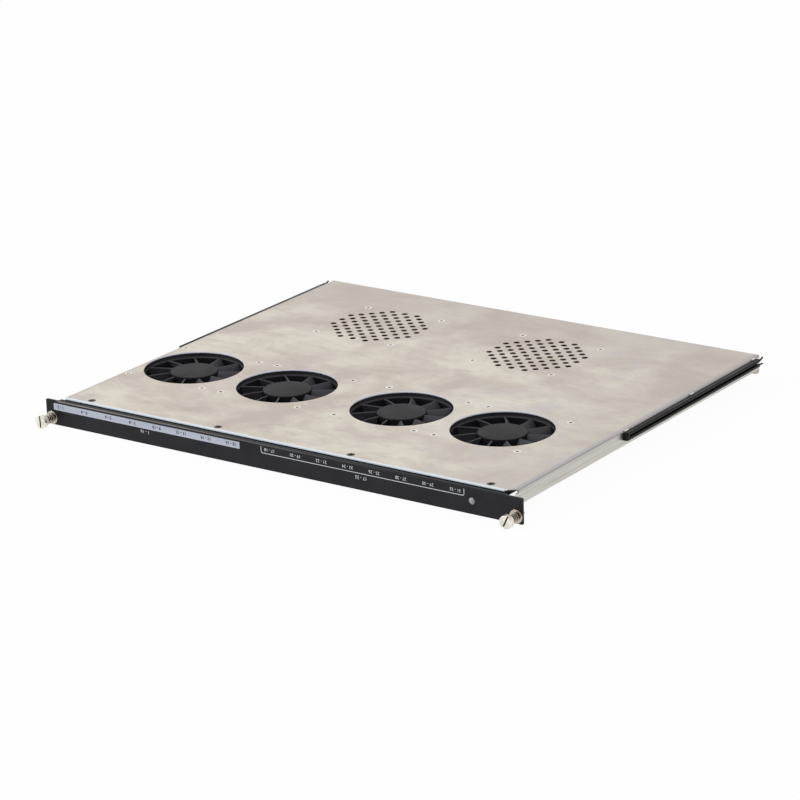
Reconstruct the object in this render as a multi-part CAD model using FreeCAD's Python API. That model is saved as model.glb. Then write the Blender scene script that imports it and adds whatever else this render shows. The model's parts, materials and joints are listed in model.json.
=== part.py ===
import FreeCAD
import Part

import math
import os

# Fan module: a folded sheet tray with six axial fans, a black front panel and two side rails.
# X runs along the front, Y to the rear and Z up. Sizes are in millimetres.
# "Back" is measured from the tray's front edge, "drop" from the plate's top.
# Pieces are drawn about the middle of the tray and saved about the middle of the wider front panel,
# which sits a little to the left of it. The origin is under the middle of the module.

# Room for the fans between the tray's walls; the tray's width and depth follow from it
fan_size = 80.0
fan_wall_gap = 0.7
fan_pair_gap = 9.0
fan_middle_gap = 25.0
fan_right_room = 37.7
fan_front_room = 65.7
fan_row_gap = 76.8
fan_rear_room = 45.0
rear_fan_left_room = 64.9
rear_fan_gap = 68.4

# Tray sheet
sheet = 0.8
bend_radius = 1.5
side_wall_drop = 11.4
rear_wall_drop = 16.2
rear_corner_radius = 3.0
corner_relief = 0.9
hem_depth = 12.0
hem_nose_radius = 0.5
hem_right_gap = 8.5
corner_cut_depth = 5.7
corner_cut_drop = 2.0
rim_chamfer = 0.35

# Front panel
panel_ear = 11.65
panel_shift = -2.15
panel_height = 19.4
panel_sheet = 1.5
panel_bend_radius = 1.6
panel_corner_radius = 0.8
panel_stand = 4.8
panel_flange_left_inset = 11.4
panel_flange_right_inset = 14.1
panel_lap_inset = 3.0
panel_flange_lap = 11.0

# Black screws that hold the panel's flange under the hem
panel_screw_count = 4
panel_screw_inset = 22.85
panel_screw_back = 5.4
panel_screw_head_radius = 3.0
panel_screw_head_height = 1.3
panel_screw_shank_radius = 1.5
panel_screw_length = 6.0

# Perforated grilles: holes on a square lattice turned by 45 degrees
grille_hole_diameter = 5.0
grille_step = 6.0
grille_reach = 6
grille_corner_cut = 8

# Fan frame
fan_thickness = 15.0
fan_corner_radius = 4.5
fan_screw_inset = 4.25
fan_flange = 3.6
fan_side_wall = 1.8
fan_duct_wall = 1.3
fan_flare = 1.0
fan_flare_depth = 4.2
cutout_margin = 0.3
fan_boss_radius = 4.0
motor_base_radius = 16.6
motor_base_thickness = 1.6
strut_count = 4
strut_width = 3.2
strut_height = 2.0
strut_offset = 8.0
bearing_tube_wall = 1.1
bearing_tube_gap = 0.4

# Fan screws
fan_screw_head_radius = 2.9
fan_screw_shank_radius = 1.9
fan_screw_length = 9.0

# Cross recess in the screw heads
recess_length = 3.2
recess_width = 0.8
recess_depth = 0.6
recess_corner_radius = 0.25

# Impeller
hub_diameter = 37.0
hub_drop = 1.4
hub_edge_radius = 0.6
hub_wall = 1.2
hub_top = 1.4
hub_strut_gap = 0.8
hub_boss_radius = 3.2
hub_boss_depth = 2.6
blade_count = 11
blade_tip_gap = 1.0
blade_thickness = 1.1
blade_camber = 0.8
blade_base_gap = 1.5
blade_root_lead_drop = 0.4
blade_tip_lead_drop = 1.0
blade_tip_trail_rise = 0.6
blade_root_lead_angle = 11.0
blade_root_trail_angle = -4.0
blade_tip_lead_angle = 19.0
blade_tip_trail_angle = 12.0
blade_tip_at = [-1.2, 0.4, 16.3, 24.2, 8.0, 21.0]

# Fan motor
shaft_radius = 1.5
shaft_base_gap = 0.3
bearing_radius = 3.5
bearing_base_gap = 0.6
running_clearance = 0.03
magnet_thickness = 2.4
magnet_inset = 0.2
magnet_top_gap = 1.0
air_gap = 0.6
stator_ring = 2.4
pole_count = 4
pole_width = 3.2
pole_shoe = 1.5
pole_shoe_angle = 70.0
coil_wall = 1.1
coil_end_gap = 1.0

# Captive screws
captive_edge_room = 0.2
captive_reach = 14.3
captive_head_radius = 5.0
captive_head_length = 4.5
captive_head_chamfer = 0.5
captive_slot_width = 1.2
captive_slot_depth = 1.6
captive_neck_radius = 1.7
captive_thread_radius = 2.0
captive_thread_length = 6.0
captive_thread_play = 0.2
captive_slot_turn = {"left": 4.0, "right": -26.0}
retainer_flange_radius = 5.2
retainer_flange = 1.3
retainer_barrel_radius = 3.0
retainer_flare_radius = 3.4
retainer_flare = 0.8
spring_radius = 3.1
spring_wire = 0.8
spring_turns = 4
spring_sections_per_turn = 16

# Side rails
rail_length = 201.2
rail_rear_gap = 2.5
rail_drop = 1.0
rail_height = 6.0
rail_out = 4.0
rail_web = 1.3
rail_lip = 2.1
rail_prong = 4.9
rail_prong_width = 1.3
rail_prong_root = 1.2
rail_prong_tip = 0.8
rail_prong_rise = 2.0
rail_nose = 3.0
rail_nose_chamfer = 1.2
hook_front_end = 4.3
hook_rear_end = 9.0
hook_count = 3
hook_width = 5.8
hook_drop = 1.6
hook_thickness = 0.8
hook_bridge = 1.5
hook_catch = 2.6

# Tray tabs bent out over the right-hand rail, one above each hook
tab_width = 5.0
tab_reach = 1.0
tab_root = 0.9

# Indicator lamp
led_inset = 41.9
led_radius = 2.45
led_proud = 0.7
led_length = 8.6
led_rim_radius = 2.9
led_rim = 1.0
led_holder_radius = 4.2
led_holder_length = 5.0

# Connection board and rear connector
board_width = 64.0
board_depth = 56.0
board_thickness = 1.6
board_rear_gap = 1.0
board_corner_inset = 5.0
standoff_height = 3.0
standoff_radius = 2.8
board_screw_radius = 1.2
board_screw_length = 4.0
board_screw_head_radius = 2.4
board_screw_head = 1.6
header_pitch = 10.0
header_front_gap = 8.0
header_width = 8.0
header_depth = 5.8
header_base = 3.2
header_height = 8.0
header_lock = 1.0
header_lock_width = 5.0
header_pin_pitch = 2.5
header_pin = 0.64
connector_width = 34.0
connector_height = 6.8
connector_depth = 12.0
connector_proud = 3.0
connector_wall = 1.2
connector_floor = 3.0
connector_pin_pitch = 3.6
connector_row_pitch = 2.2
connector_pins_per_row = 8
connector_pin = 0.8

# Room between pieces that sit in each other
screw_clearance = 0.05
press_clearance = 0.02
slot_clearance = 0.3

# Heights and places that follow from the sizes above
tray_width = (4 * fan_size + fan_wall_gap + 2 * fan_pair_gap + fan_middle_gap + fan_right_room
              + 2 * sheet)
tray_depth = fan_front_room + fan_size + fan_row_gap + fan_size + fan_rear_room
hem_thickness = 2 * sheet
plate_top = panel_height + hem_thickness
plate_under = plate_top - sheet
half_tray = tray_width / 2
half_panel = half_tray + panel_ear
panel_left = panel_shift - half_panel
panel_right = panel_shift + half_panel
rear_reach = tray_depth + connector_proud
front_reach = panel_stand + captive_reach
tray_front = (front_reach - rear_reach) / 2
tray_rear = tray_front + tray_depth
panel_face = tray_front - panel_stand
panel_rear_face = panel_face + panel_sheet
fan_base = plate_under - fan_thickness
fan_bore = fan_size / 2 - fan_side_wall
fan_screw_pitch = fan_size - 2 * fan_screw_inset
cutout_radius = fan_bore + cutout_margin
hub_radius = hub_diameter / 2
hub_face = fan_thickness - hub_drop
hub_base = strut_height + hub_strut_gap
hub_inner_radius = hub_radius - hub_wall
hub_boss_end = hub_face - hub_top - hub_boss_depth
shaft_top = hub_face - hub_top / 2
shaft_base = motor_base_thickness + shaft_base_gap
bearing_tube_top = hub_boss_end - bearing_tube_gap
bearing_tube_inner = bearing_radius + press_clearance
bearing_tube_outer = bearing_tube_inner + bearing_tube_wall
bearing_base = motor_base_thickness + bearing_base_gap
magnet_outer = hub_inner_radius - press_clearance
magnet_inner = magnet_outer - magnet_thickness
stator_outer = magnet_inner - air_gap
stator_inner = bearing_tube_outer + press_clearance
magnet_base = hub_base + magnet_inset
magnet_top = hub_face - hub_top - magnet_top_gap
stator_base = motor_base_thickness + coil_end_gap + coil_wall
stator_top = bearing_tube_top - coil_end_gap - coil_wall
captive_height = retainer_flange_radius + captive_edge_room
captive_x = {"left": panel_left + captive_height, "right": panel_right - captive_height}
captive_head_back = panel_face - captive_reach + captive_head_length
retainer_front = panel_face - retainer_flange
retainer_rear = panel_rear_face + retainer_flare
rail_rear = tray_rear - rail_rear_gap
rail_front = rail_rear - rail_length
led_x = panel_right - led_inset
led_height = panel_height / 2
rear_fan_left = sheet - half_tray + rear_fan_left_room
rear_fans_right = rear_fan_left + 2 * fan_size + rear_fan_gap
board_x = (rear_fans_right + half_tray - sheet) / 2
board_top = plate_under - standoff_height
board_under = board_top - board_thickness
board_rear = tray_rear - sheet - board_rear_gap
board_front = board_rear - board_depth
connector_rear = tray_rear + connector_proud

up = FreeCAD.Vector(0, 0, 1)
rearward = FreeCAD.Vector(0, 1, 0)
across = FreeCAD.Vector(1, 0, 0)
origin = FreeCAD.Vector(0, 0, 0)


def point(x, y, z):
    return FreeCAD.Vector(x, y, z)


def box(x0, x1, y0, y1, z0, z1):
    return Part.makeBox(x1 - x0, y1 - y0, z1 - z0, point(x0, y0, z0))


def cylinder(radius, z0, z1, x=0.0, y=0.0):
    return Part.makeCylinder(radius, z1 - z0, point(x, y, z0))


def tube(outer, inner, z0, z1):
    return cylinder(outer, z0, z1).cut(cylinder(inner, z0, z1))


def line(start, end):
    return Part.LineSegment(start, end).toShape()


def arc(start, middle, end):
    return Part.Arc(start, middle, end).toShape()


def polygon(points):
    return Part.Face(Part.makePolygon(points + points[:1]))


def turned(profile, axis):
    """Solid of revolution about an axis through the origin."""
    return polygon(profile).revolve(origin, axis, 360)


def moved(shape, x, y, z):
    placed = shape.copy()
    placed.translate(point(x, y, z))
    return placed


def rotated(shape, angle):
    placed = shape.copy()
    placed.rotate(origin, up, angle)
    return placed


def mirrored(shape):
    return shape.mirror(origin, across)


def rounded_box(width, depth, z0, z1, radius):
    body = box(-width / 2, width / 2, -depth / 2, depth / 2, z0, z1)
    upright = [e for e in body.Edges if abs(e.Vertexes[0].Z - e.Vertexes[1].Z) > (z1 - z0) / 2]
    return body.makeFillet(radius, upright)


def save(name, shape):
    moved(shape, -panel_shift, 0, 0).exportStep(os.path.join("parts", name + ".step"))


def fan_places():
    """Fan axes: four in the front row, then two under the grilles."""
    half = fan_size / 2
    front_y = tray_front + fan_front_room + half
    first = sheet - half_tray + fan_wall_gap + half
    second = first + fan_size + fan_pair_gap
    third = second + fan_size + fan_middle_gap
    fourth = third + fan_size + fan_pair_gap
    front = [(x, front_y) for x in (first, second, third, fourth)]
    rear_y = front_y + fan_size + fan_row_gap
    rear = [(x, rear_y) for x in (rear_fan_left + half, rear_fans_right - half)]
    return front, rear


def square_corners(pitch):
    return [(x * pitch / 2, y * pitch / 2) for x in (-1, 1) for y in (-1, 1)]


def panel_screw_places():
    reach = half_tray - panel_screw_inset
    step = 2 * reach / (panel_screw_count - 1)
    return [(i * step - reach, tray_front + panel_screw_back) for i in range(panel_screw_count)]


def hook_places():
    first = rail_front + hook_front_end
    step = (rail_rear - hook_rear_end - first) / (hook_count - 1)
    return [first + i * step for i in range(hook_count)]


def fold(start, end, centre):
    """Quarter bend between two points that lie at the same distance from its centre."""
    middle = (start + end) * 0.5 - centre
    middle.normalize()
    return arc(start, centre + middle * (start - centre).Length, end)


def tray_shell():
    """Plate with its two side walls: a folded channel drawn along Y."""
    y = tray_front + sheet
    low = plate_top - side_wall_drop
    bend = plate_top - bend_radius
    centre = point(half_tray - bend_radius, y, bend)
    right = [
        line(point(0, y, plate_top), point(half_tray - bend_radius, y, plate_top)),
        fold(point(half_tray - bend_radius, y, plate_top), point(half_tray, y, bend), centre),
        line(point(half_tray, y, bend), point(half_tray, y, low)),
        line(point(half_tray, y, low), point(half_tray - sheet, y, low)),
        line(point(half_tray - sheet, y, low), point(half_tray - sheet, y, bend)),
        fold(point(half_tray - sheet, y, bend), point(half_tray - bend_radius, y, plate_under), centre),
        line(point(half_tray - bend_radius, y, plate_under), point(0, y, plate_under)),
    ]
    left = [mirrored(edge) for edge in right]
    outline = Part.Wire(Part.__sortEdges__(right + left))
    length = tray_depth - sheet - bend_radius
    return Part.Face(outline).extrude(rearward * length)


def rear_wall():
    """Rear fold: drops from the plate's rear edge and has rounded lower corners."""
    x = corner_relief - half_tray
    start = tray_rear - bend_radius - sheet
    low = plate_top - rear_wall_drop
    bend = plate_top - bend_radius
    centre = point(x, tray_rear - bend_radius, bend)
    inner = tray_rear - sheet
    edges = [
        line(point(x, start, plate_top), point(x, tray_rear - bend_radius, plate_top)),
        fold(point(x, tray_rear - bend_radius, plate_top), point(x, tray_rear, bend), centre),
        line(point(x, tray_rear, bend), point(x, tray_rear, low)),
        line(point(x, tray_rear, low), point(x, inner, low)),
        line(point(x, inner, low), point(x, inner, bend)),
        fold(point(x, inner, bend), point(x, tray_rear - bend_radius, plate_under), centre),
        line(point(x, tray_rear - bend_radius, plate_under), point(x, start, plate_under)),
        line(point(x, start, plate_under), point(x, start, plate_top)),
    ]
    wall = Part.Face(Part.Wire(edges)).extrude(across * (tray_width - 2 * corner_relief))
    corners = [e for e in wall.Edges
               if e.BoundBox.ZMax < low + sheet / 2 and e.BoundBox.YLength > sheet / 2]
    return wall.makeFillet(rear_corner_radius, corners)


def front_hem():
    """Front edge folded under itself and pressed flat. It stops short of the right-hand corner."""
    left = bend_radius - half_tray
    right = half_tray - hem_right_gap
    bar = box(left, right, tray_front, tray_front + hem_depth, plate_top - hem_thickness, plate_top)
    nose = [e for e in bar.Edges if e.BoundBox.YMax < tray_front + sheet and e.BoundBox.XLength > hem_depth]
    return bar.makeFillet(hem_nose_radius, nose)


def corner_cuts():
    """Relief at the front right corner: the plate's edge and the top of the side wall slant back."""
    right = half_tray + sheet
    start = half_tray - hem_right_gap
    back = tray_front + corner_cut_depth
    low = plate_top - corner_cut_drop
    wedge = polygon([point(start, tray_front, low), point(right, tray_front, low), point(right, back, low)])
    inner = half_tray - bend_radius
    slant = polygon([point(inner, tray_front, plate_top), point(inner, back, plate_top),
                     point(inner, tray_front, low - sheet)])
    return [wedge.extrude(up * corner_cut_drop), slant.extrude(across * (right - inner))]


def rim_cut(radius):
    """Fan cut-out with the rolled upper edge that punching leaves."""
    edge = plate_top - rim_chamfer
    cone = Part.makeCone(radius, radius + rim_chamfer, rim_chamfer, point(0, 0, edge))
    return cylinder(radius, plate_under, edge).fuse(cone)


def rail_tabs():
    """Tabs on the right-hand fold that hold the rail down."""
    low = plate_top - rail_drop + screw_clearance
    half = tab_width / 2
    return [box(half_tray - tab_root, half_tray + tab_reach, y - half, y + half, low, low + sheet)
            for y in hook_places()]


def grille_places():
    span = range(-grille_reach, grille_reach + 1)
    return [(i * grille_step, j * grille_step) for i in span for j in span
            if (i + j) % 2 == 0 and abs(i) + abs(j) <= grille_corner_cut]


def countersunk(head_radius, head_height, shank_radius, length):
    """Screw form, point down from z = 0: a flat countersunk head on a plain shank."""
    profile = [
        point(0, 0, 0), point(head_radius, 0, 0), point(shank_radius, 0, -head_height),
        point(shank_radius, 0, -length), point(0, 0, -length),
    ]
    return turned(profile, up)


def fan_screw_form(room=0.0):
    return countersunk(fan_screw_head_radius + room, sheet, fan_screw_shank_radius + room, fan_screw_length)


def panel_screw_form(room=0.0):
    return countersunk(panel_screw_head_radius + room, panel_screw_head_height,
                       panel_screw_shank_radius + room, panel_screw_length)


def cross_recess():
    bar = rounded_box(recess_length, recess_width, -recess_depth, 0, recess_corner_radius)
    return bar.fuse(rotated(bar, 90))


def tray():
    front, rear = fan_places()
    body = tray_shell().fuse([rear_wall(), front_hem()] + rail_tabs())
    rim = rim_cut(cutout_radius)
    cuts = [moved(rim, x, y, 0) for x, y in front] + corner_cuts()
    for x, y in rear:
        cuts += [cylinder(grille_hole_diameter / 2, plate_under, plate_top, x + dx, y + dy)
                 for dx, dy in grille_places()]
    fan_hole = fan_screw_form(screw_clearance)
    for x, y in front + rear:
        cuts += [moved(fan_hole, x + dx, y + dy, plate_top) for dx, dy in square_corners(fan_screw_pitch)]
    panel_hole = panel_screw_form(screw_clearance)
    cuts += [moved(panel_hole, x, y, plate_top) for x, y in panel_screw_places()]
    slot_half = hook_width / 2 + slot_clearance
    slot_top = plate_top - rail_drop - hook_drop + slot_clearance
    slot_low = slot_top - hook_bridge - 2 * slot_clearance
    for y in hook_places():
        slot = box(half_tray - sheet, half_tray, y - slot_half, y + slot_half, slot_low, slot_top)
        cuts += [slot, mirrored(slot)]
    half_connector = connector_width / 2 + slot_clearance
    cuts.append(box(board_x - half_connector, board_x + half_connector, tray_rear - sheet, tray_rear,
                    board_under - connector_height - slot_clearance, board_under + slot_clearance))
    return body.cut(Part.makeCompound(cuts)).removeSplitter()


def panel_section(x0, x1, flange_rear):
    """Panel with its top flange, between two places along X."""
    top = panel_height
    under = panel_height - panel_sheet
    bend = panel_height - panel_bend_radius
    centre = point(x0, panel_face + panel_bend_radius, bend)
    edges = [
        line(point(x0, panel_face, 0), point(x0, panel_face, bend)),
        fold(point(x0, panel_face, bend), point(x0, panel_face + panel_bend_radius, top), centre),
        line(point(x0, panel_face + panel_bend_radius, top), point(x0, flange_rear, top)),
        line(point(x0, flange_rear, top), point(x0, flange_rear, under)),
        line(point(x0, flange_rear, under), point(x0, panel_rear_face, under)),
        line(point(x0, panel_rear_face, under), point(x0, panel_rear_face, 0)),
        line(point(x0, panel_rear_face, 0), point(x0, panel_face, 0)),
    ]
    return Part.Face(Part.Wire(edges)).extrude(across * (x1 - x0))


def panel_ear_sheet(x0, x1, end):
    ear = box(x0, x1, panel_face, panel_rear_face, 0, panel_height)
    corners = [e for e in ear.Edges
               if e.BoundBox.YLength > panel_sheet / 2 and abs(e.BoundBox.XMax - end) < panel_corner_radius]
    return ear.makeFillet(panel_corner_radius, corners)


def front_panel():
    """Sheet with rounded ears and a flange, which steps in from the tray's left wall to lap under the hem."""
    left = panel_left + panel_flange_left_inset
    right = panel_right - panel_flange_right_inset
    strip = panel_section(left, right, tray_front - slot_clearance)
    lap = panel_section(panel_lap_inset - half_tray, right, tray_front + panel_flange_lap)
    ears = [panel_ear_sheet(panel_left, left, panel_left), panel_ear_sheet(right, panel_right, panel_right)]
    body = strip.fuse([lap] + ears)
    cuts = []
    barrel_hole = retainer_barrel_radius + press_clearance
    for x in captive_x.values():
        start = point(x, panel_face, captive_height)
        cuts.append(Part.makeCylinder(barrel_hole, panel_sheet, start, rearward))
    cuts.append(Part.makeCylinder(led_radius + screw_clearance, panel_sheet,
                                  point(led_x, panel_face, led_height), rearward))
    for x, y in panel_screw_places():
        cuts.append(cylinder(panel_screw_shank_radius + screw_clearance,
                             panel_height - panel_sheet, panel_height, x, y))
    return body.cut(Part.makeCompound(cuts)).removeSplitter()


def panel_screws():
    screw = panel_screw_form().cut(cross_recess())
    return Part.makeCompound([moved(screw, x, y, plate_top) for x, y in panel_screw_places()])


def fan_screws():
    screw = fan_screw_form().cut(cross_recess())
    front, rear = fan_places()
    return Part.makeCompound([moved(screw, x + dx, y + dy, plate_top)
                              for x, y in front + rear for dx, dy in square_corners(fan_screw_pitch)])


def fan_frame():
    """Square frame with a flared duct, waisted between two flanges, and a motor base on slanted struts."""
    bore = fan_bore
    body = rounded_box(fan_size, fan_size, 0, fan_thickness, fan_corner_radius)
    waist_top = fan_thickness - fan_flange
    corners = square_corners(fan_screw_pitch)
    bosses = [cylinder(fan_boss_radius, fan_flange, waist_top, x, y) for x, y in corners]
    kept = cylinder(bore + fan_duct_wall, fan_flange, waist_top).fuse(bosses)
    waist = box(-fan_size, fan_size, -fan_size, fan_size, fan_flange, waist_top).cut(kept)
    holes = [cylinder(fan_screw_shank_radius + screw_clearance, 0, fan_thickness, x, y) for x, y in corners]
    flare_start = point(0, 0, fan_thickness - fan_flare_depth)
    flare = Part.makeCone(bore, bore + fan_flare, fan_flare_depth, flare_start)
    body = body.cut([cylinder(bore, 0, fan_thickness), flare, waist] + holes)
    strut = box(0, bore + fan_duct_wall / 2, strut_offset - strut_width / 2,
                strut_offset + strut_width / 2, 0, strut_height)
    strut = strut.common(cylinder(bore + fan_duct_wall / 2, 0, strut_height))
    struts = [rotated(strut, i * 360 / strut_count) for i in range(strut_count)]
    base = cylinder(motor_base_radius, 0, motor_base_thickness)
    seat = tube(bearing_tube_outer, bearing_tube_inner, motor_base_thickness, bearing_tube_top)
    spider = base.fuse(struts)
    over_base = cylinder(motor_base_radius, motor_base_thickness, fan_thickness)
    spider = spider.cut(over_base).fuse(seat)
    return body.fuse(spider).removeSplitter()


def hub():
    """Rotor cup with a rounded top edge and a boss for the shaft."""
    bored = shaft_radius + press_clearance
    inner_top = hub_face - hub_top
    profile = [
        point(0, 0, hub_face), point(hub_radius, 0, hub_face), point(hub_radius, 0, hub_base),
        point(hub_inner_radius, 0, hub_base), point(hub_inner_radius, 0, inner_top),
        point(hub_boss_radius, 0, inner_top), point(hub_boss_radius, 0, hub_boss_end),
        point(bored, 0, hub_boss_end), point(bored, 0, shaft_top), point(0, 0, shaft_top),
    ]
    cup = turned(profile, up)
    rim = [e for e in cup.Edges if e.BoundBox.ZMin > hub_face - hub_edge_radius / 2]
    return cup.makeFillet(hub_edge_radius, rim)


def blade_section(reach, share):
    """Curved blade section at a distance from the axis; share runs from 0 at the root to 1 at the tip."""
    lead_angle = blade_root_lead_angle + share * (blade_tip_lead_angle - blade_root_lead_angle)
    trail_angle = blade_root_trail_angle + share * (blade_tip_trail_angle - blade_root_trail_angle)
    lead_z = hub_face - blade_root_lead_drop - share * (blade_tip_lead_drop - blade_root_lead_drop)
    trail_z = strut_height + blade_base_gap + blade_tip_trail_rise * share
    lead = point(reach, reach * math.tan(math.radians(lead_angle)), lead_z)
    trail = point(reach, reach * math.tan(math.radians(trail_angle)), trail_z)
    chord = trail - lead
    below = point(0, -chord.z, chord.y)
    below.normalize()
    crown = (lead + trail) * 0.5 - below * blade_camber
    through = below * blade_thickness
    edges = [
        arc(lead, crown, trail),
        line(trail, trail + through),
        arc(trail + through, crown + through, lead + through),
        line(lead + through, lead),
    ]
    return Part.Wire(edges)


def impeller():
    """Hub with twisted, forward-swept blades; the lead edge of each blade is its upper edge."""
    tip = fan_bore - blade_tip_gap
    start = hub_radius - hub_wall / 2
    reach = tip + blade_tip_gap
    sections = [blade_section(start + share * (reach - start), share) for share in (0.0, 0.5, 1.0)]
    blade = Part.makeLoft(sections, True)
    blade = blade.common(cylinder(tip, 0, fan_thickness))
    blades = [rotated(blade, i * 360 / blade_count) for i in range(blade_count)]
    return hub().fuse(blades)


def rotor_magnet():
    return tube(magnet_outer, magnet_inner, magnet_base, magnet_top)


def shaft():
    return cylinder(shaft_radius, shaft_base, shaft_top)


def bearing():
    return tube(bearing_radius, shaft_radius + running_clearance, bearing_base, bearing_tube_top)


def stator():
    """Core with poles that widen into shoes, and a coil on each pole."""
    ring_outer = stator_inner + stator_ring
    shoe_inner = stator_outer - pole_shoe
    base, top = stator_base, stator_top
    sector = Part.makeCylinder(stator_outer, top - base, point(0, 0, base), up, pole_shoe_angle)
    sector = rotated(sector, -pole_shoe_angle / 2).cut(cylinder(shoe_inner, base, top))
    pole = box(stator_inner + stator_ring / 2, shoe_inner + pole_shoe / 2,
               -pole_width / 2, pole_width / 2, base, top)
    turns = [i * 360 / pole_count for i in range(pole_count)]
    core = tube(ring_outer, stator_inner, base, top)
    core = core.fuse([rotated(piece, turn) for turn in turns for piece in (pole, sector)]).removeSplitter()
    half = pole_width / 2 + press_clearance
    coil_inner = ring_outer + press_clearance
    coil = box(coil_inner, shoe_inner - coil_wall, -half - coil_wall, half + coil_wall,
               base - coil_wall, top + coil_wall)
    coil = coil.cut(box(0, stator_outer, -half, half, base - press_clearance, top + press_clearance))
    return Part.makeCompound([core] + [rotated(coil, turn) for turn in turns])


def captive_retainer():
    """Flanged bush swaged into the panel, turned about the screw's axis."""
    bore = captive_neck_radius + running_clearance
    front = retainer_front - panel_face
    rear = retainer_rear - panel_face
    profile = [
        point(bore, front, 0), point(retainer_flange_radius, front, 0), point(retainer_flange_radius, 0, 0),
        point(retainer_barrel_radius, 0, 0), point(retainer_barrel_radius, panel_sheet, 0),
        point(retainer_flare_radius, panel_sheet, 0), point(retainer_flare_radius, rear, 0),
        point(bore, rear, 0),
    ]
    return turned(profile, rearward)


def captive_screw():
    """Slotted round head, plain neck and a thicker thread behind the retainer, which keeps it captive."""
    front = -captive_reach
    back = front + captive_head_length
    thread_start = retainer_rear - panel_face + captive_thread_play
    tip = thread_start + captive_thread_length
    edge = captive_head_chamfer
    profile = [
        point(0, front, 0), point(captive_head_radius - edge, front, 0),
        point(captive_head_radius, front + edge, 0), point(captive_head_radius, back - edge, 0),
        point(captive_head_radius - edge, back, 0), point(captive_neck_radius, back, 0),
        point(captive_neck_radius, thread_start, 0), point(captive_thread_radius, thread_start, 0),
        point(captive_thread_radius, tip, 0), point(0, tip, 0),
    ]
    slot = box(-captive_slot_width / 2, captive_slot_width / 2, front, front + captive_slot_depth,
               -captive_head_radius, captive_head_radius)
    return turned(profile, rearward).cut(slot)


def captive_spring():
    """Open coil between the retainer's flange and the screw's head, lofted through sections of its wire."""
    length = retainer_front - captive_head_back
    rise = length - spring_wire - 2 * screw_clearance
    section = Part.Wire(Part.makeCircle(spring_wire / 2, point(spring_radius, 0, 0), rearward))
    steps = spring_turns * spring_sections_per_turn
    sections = [moved(rotated(section, i * 360 / spring_sections_per_turn), 0, 0, rise * i / steps)
                for i in range(steps + 1)]
    coil = Part.makeLoft(sections, True, True)
    coil.rotate(origin, across, -90)
    coil.translate(point(0, captive_head_back - panel_face + spring_wire / 2 + screw_clearance, 0))
    return coil


def side_rail():
    """Right-hand guide channel, open outwards, with a rear prong on each lip and hooks through the side wall."""
    inner, outer = half_tray, half_tray + rail_out
    top = plate_top - rail_drop
    low = top - rail_height
    front, rear = rail_front, rail_rear
    web_rear = rear - rail_prong
    body = box(inner, outer, front, web_rear, low, top)
    groove = box(inner + rail_web, outer, front + rail_nose, web_rear, low + rail_lip, top - rail_lip)
    body = body.cut(groove)
    nose = [e for e in body.Edges
            if e.BoundBox.YMax < front + rail_nose / 2 and e.BoundBox.XMin > outer - rail_web / 2]
    body = body.makeChamfer(rail_nose_chamfer, nose)
    prong_side = outer - rail_prong_width
    upper_root, lower_root = top - rail_lip, low + rail_lip - rail_prong_root
    pieces = []
    for root, rise in ((upper_root, rail_prong_rise), (lower_root, 0)):
        outline = [point(prong_side, web_rear, root), point(prong_side, rear, root + rise),
                   point(prong_side, rear, root + rise + rail_prong_tip),
                   point(prong_side, web_rear, root + rail_prong_root)]
        pieces.append(polygon(outline).extrude(across * rail_prong_width))
    catch_outer = half_tray - sheet - slot_clearance
    catch_inner = catch_outer - hook_thickness
    hook_top = top - hook_drop
    for y in hook_places():
        y0, y1 = y - hook_width / 2, y + hook_width / 2
        pieces.append(box(catch_inner, inner, y0, y1, hook_top - hook_bridge, hook_top))
        pieces.append(box(catch_inner, catch_outer, y0, y1, hook_top - hook_catch, hook_top))
    return body.fuse(pieces).removeSplitter()


def led():
    """Lamp body with a domed front and a rim that seats behind the panel."""
    dome_radius = (led_radius ** 2 + led_proud ** 2) / (2 * led_proud)
    dome_centre = dome_radius - led_proud
    half_angle = math.asin(led_radius / dome_radius) / 2
    halfway = point(dome_radius * math.sin(half_angle), dome_centre - dome_radius * math.cos(half_angle), 0)
    profile_face = Part.Face(Part.Wire([
        arc(point(0, -led_proud, 0), halfway, point(led_radius, 0, 0)),
        line(point(led_radius, 0, 0), point(led_radius, panel_sheet, 0)),
        line(point(led_radius, panel_sheet, 0), point(led_rim_radius, panel_sheet, 0)),
        line(point(led_rim_radius, panel_sheet, 0), point(led_rim_radius, panel_sheet + led_rim, 0)),
        line(point(led_rim_radius, panel_sheet + led_rim, 0), point(led_radius, panel_sheet + led_rim, 0)),
        line(point(led_radius, panel_sheet + led_rim, 0), point(led_radius, led_length, 0)),
        line(point(led_radius, led_length, 0), point(0, led_length, 0)),
        line(point(0, led_length, 0), point(0, -led_proud, 0)),
    ]))
    return moved(profile_face.revolve(origin, rearward, 360), led_x, panel_face, led_height)


def led_holder():
    """Plastic clip ring behind the panel that keeps the lamp's rim against it."""
    rim = led_rim_radius + screw_clearance
    stem = led_radius + screw_clearance
    step = panel_sheet + led_rim + screw_clearance
    end = panel_sheet + led_holder_length
    profile = [
        point(rim, panel_sheet, 0), point(led_holder_radius, panel_sheet, 0),
        point(led_holder_radius, end, 0),
        point(stem, end, 0), point(stem, step, 0), point(rim, step, 0),
    ]
    return moved(turned(profile, rearward), led_x, panel_face, led_height)


def board_corners():
    x = board_width / 2 - board_corner_inset
    return [(board_x + side * x, y) for side in (-1, 1)
            for y in (board_front + board_corner_inset, board_rear - board_corner_inset)]


def connector_board():
    plate = box(board_x - board_width / 2, board_x + board_width / 2, board_front, board_rear,
                board_under, board_top)
    holes = [cylinder(board_screw_radius + screw_clearance, board_under, board_top, x, y)
             for x, y in board_corners()]
    return plate.cut(holes)


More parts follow.
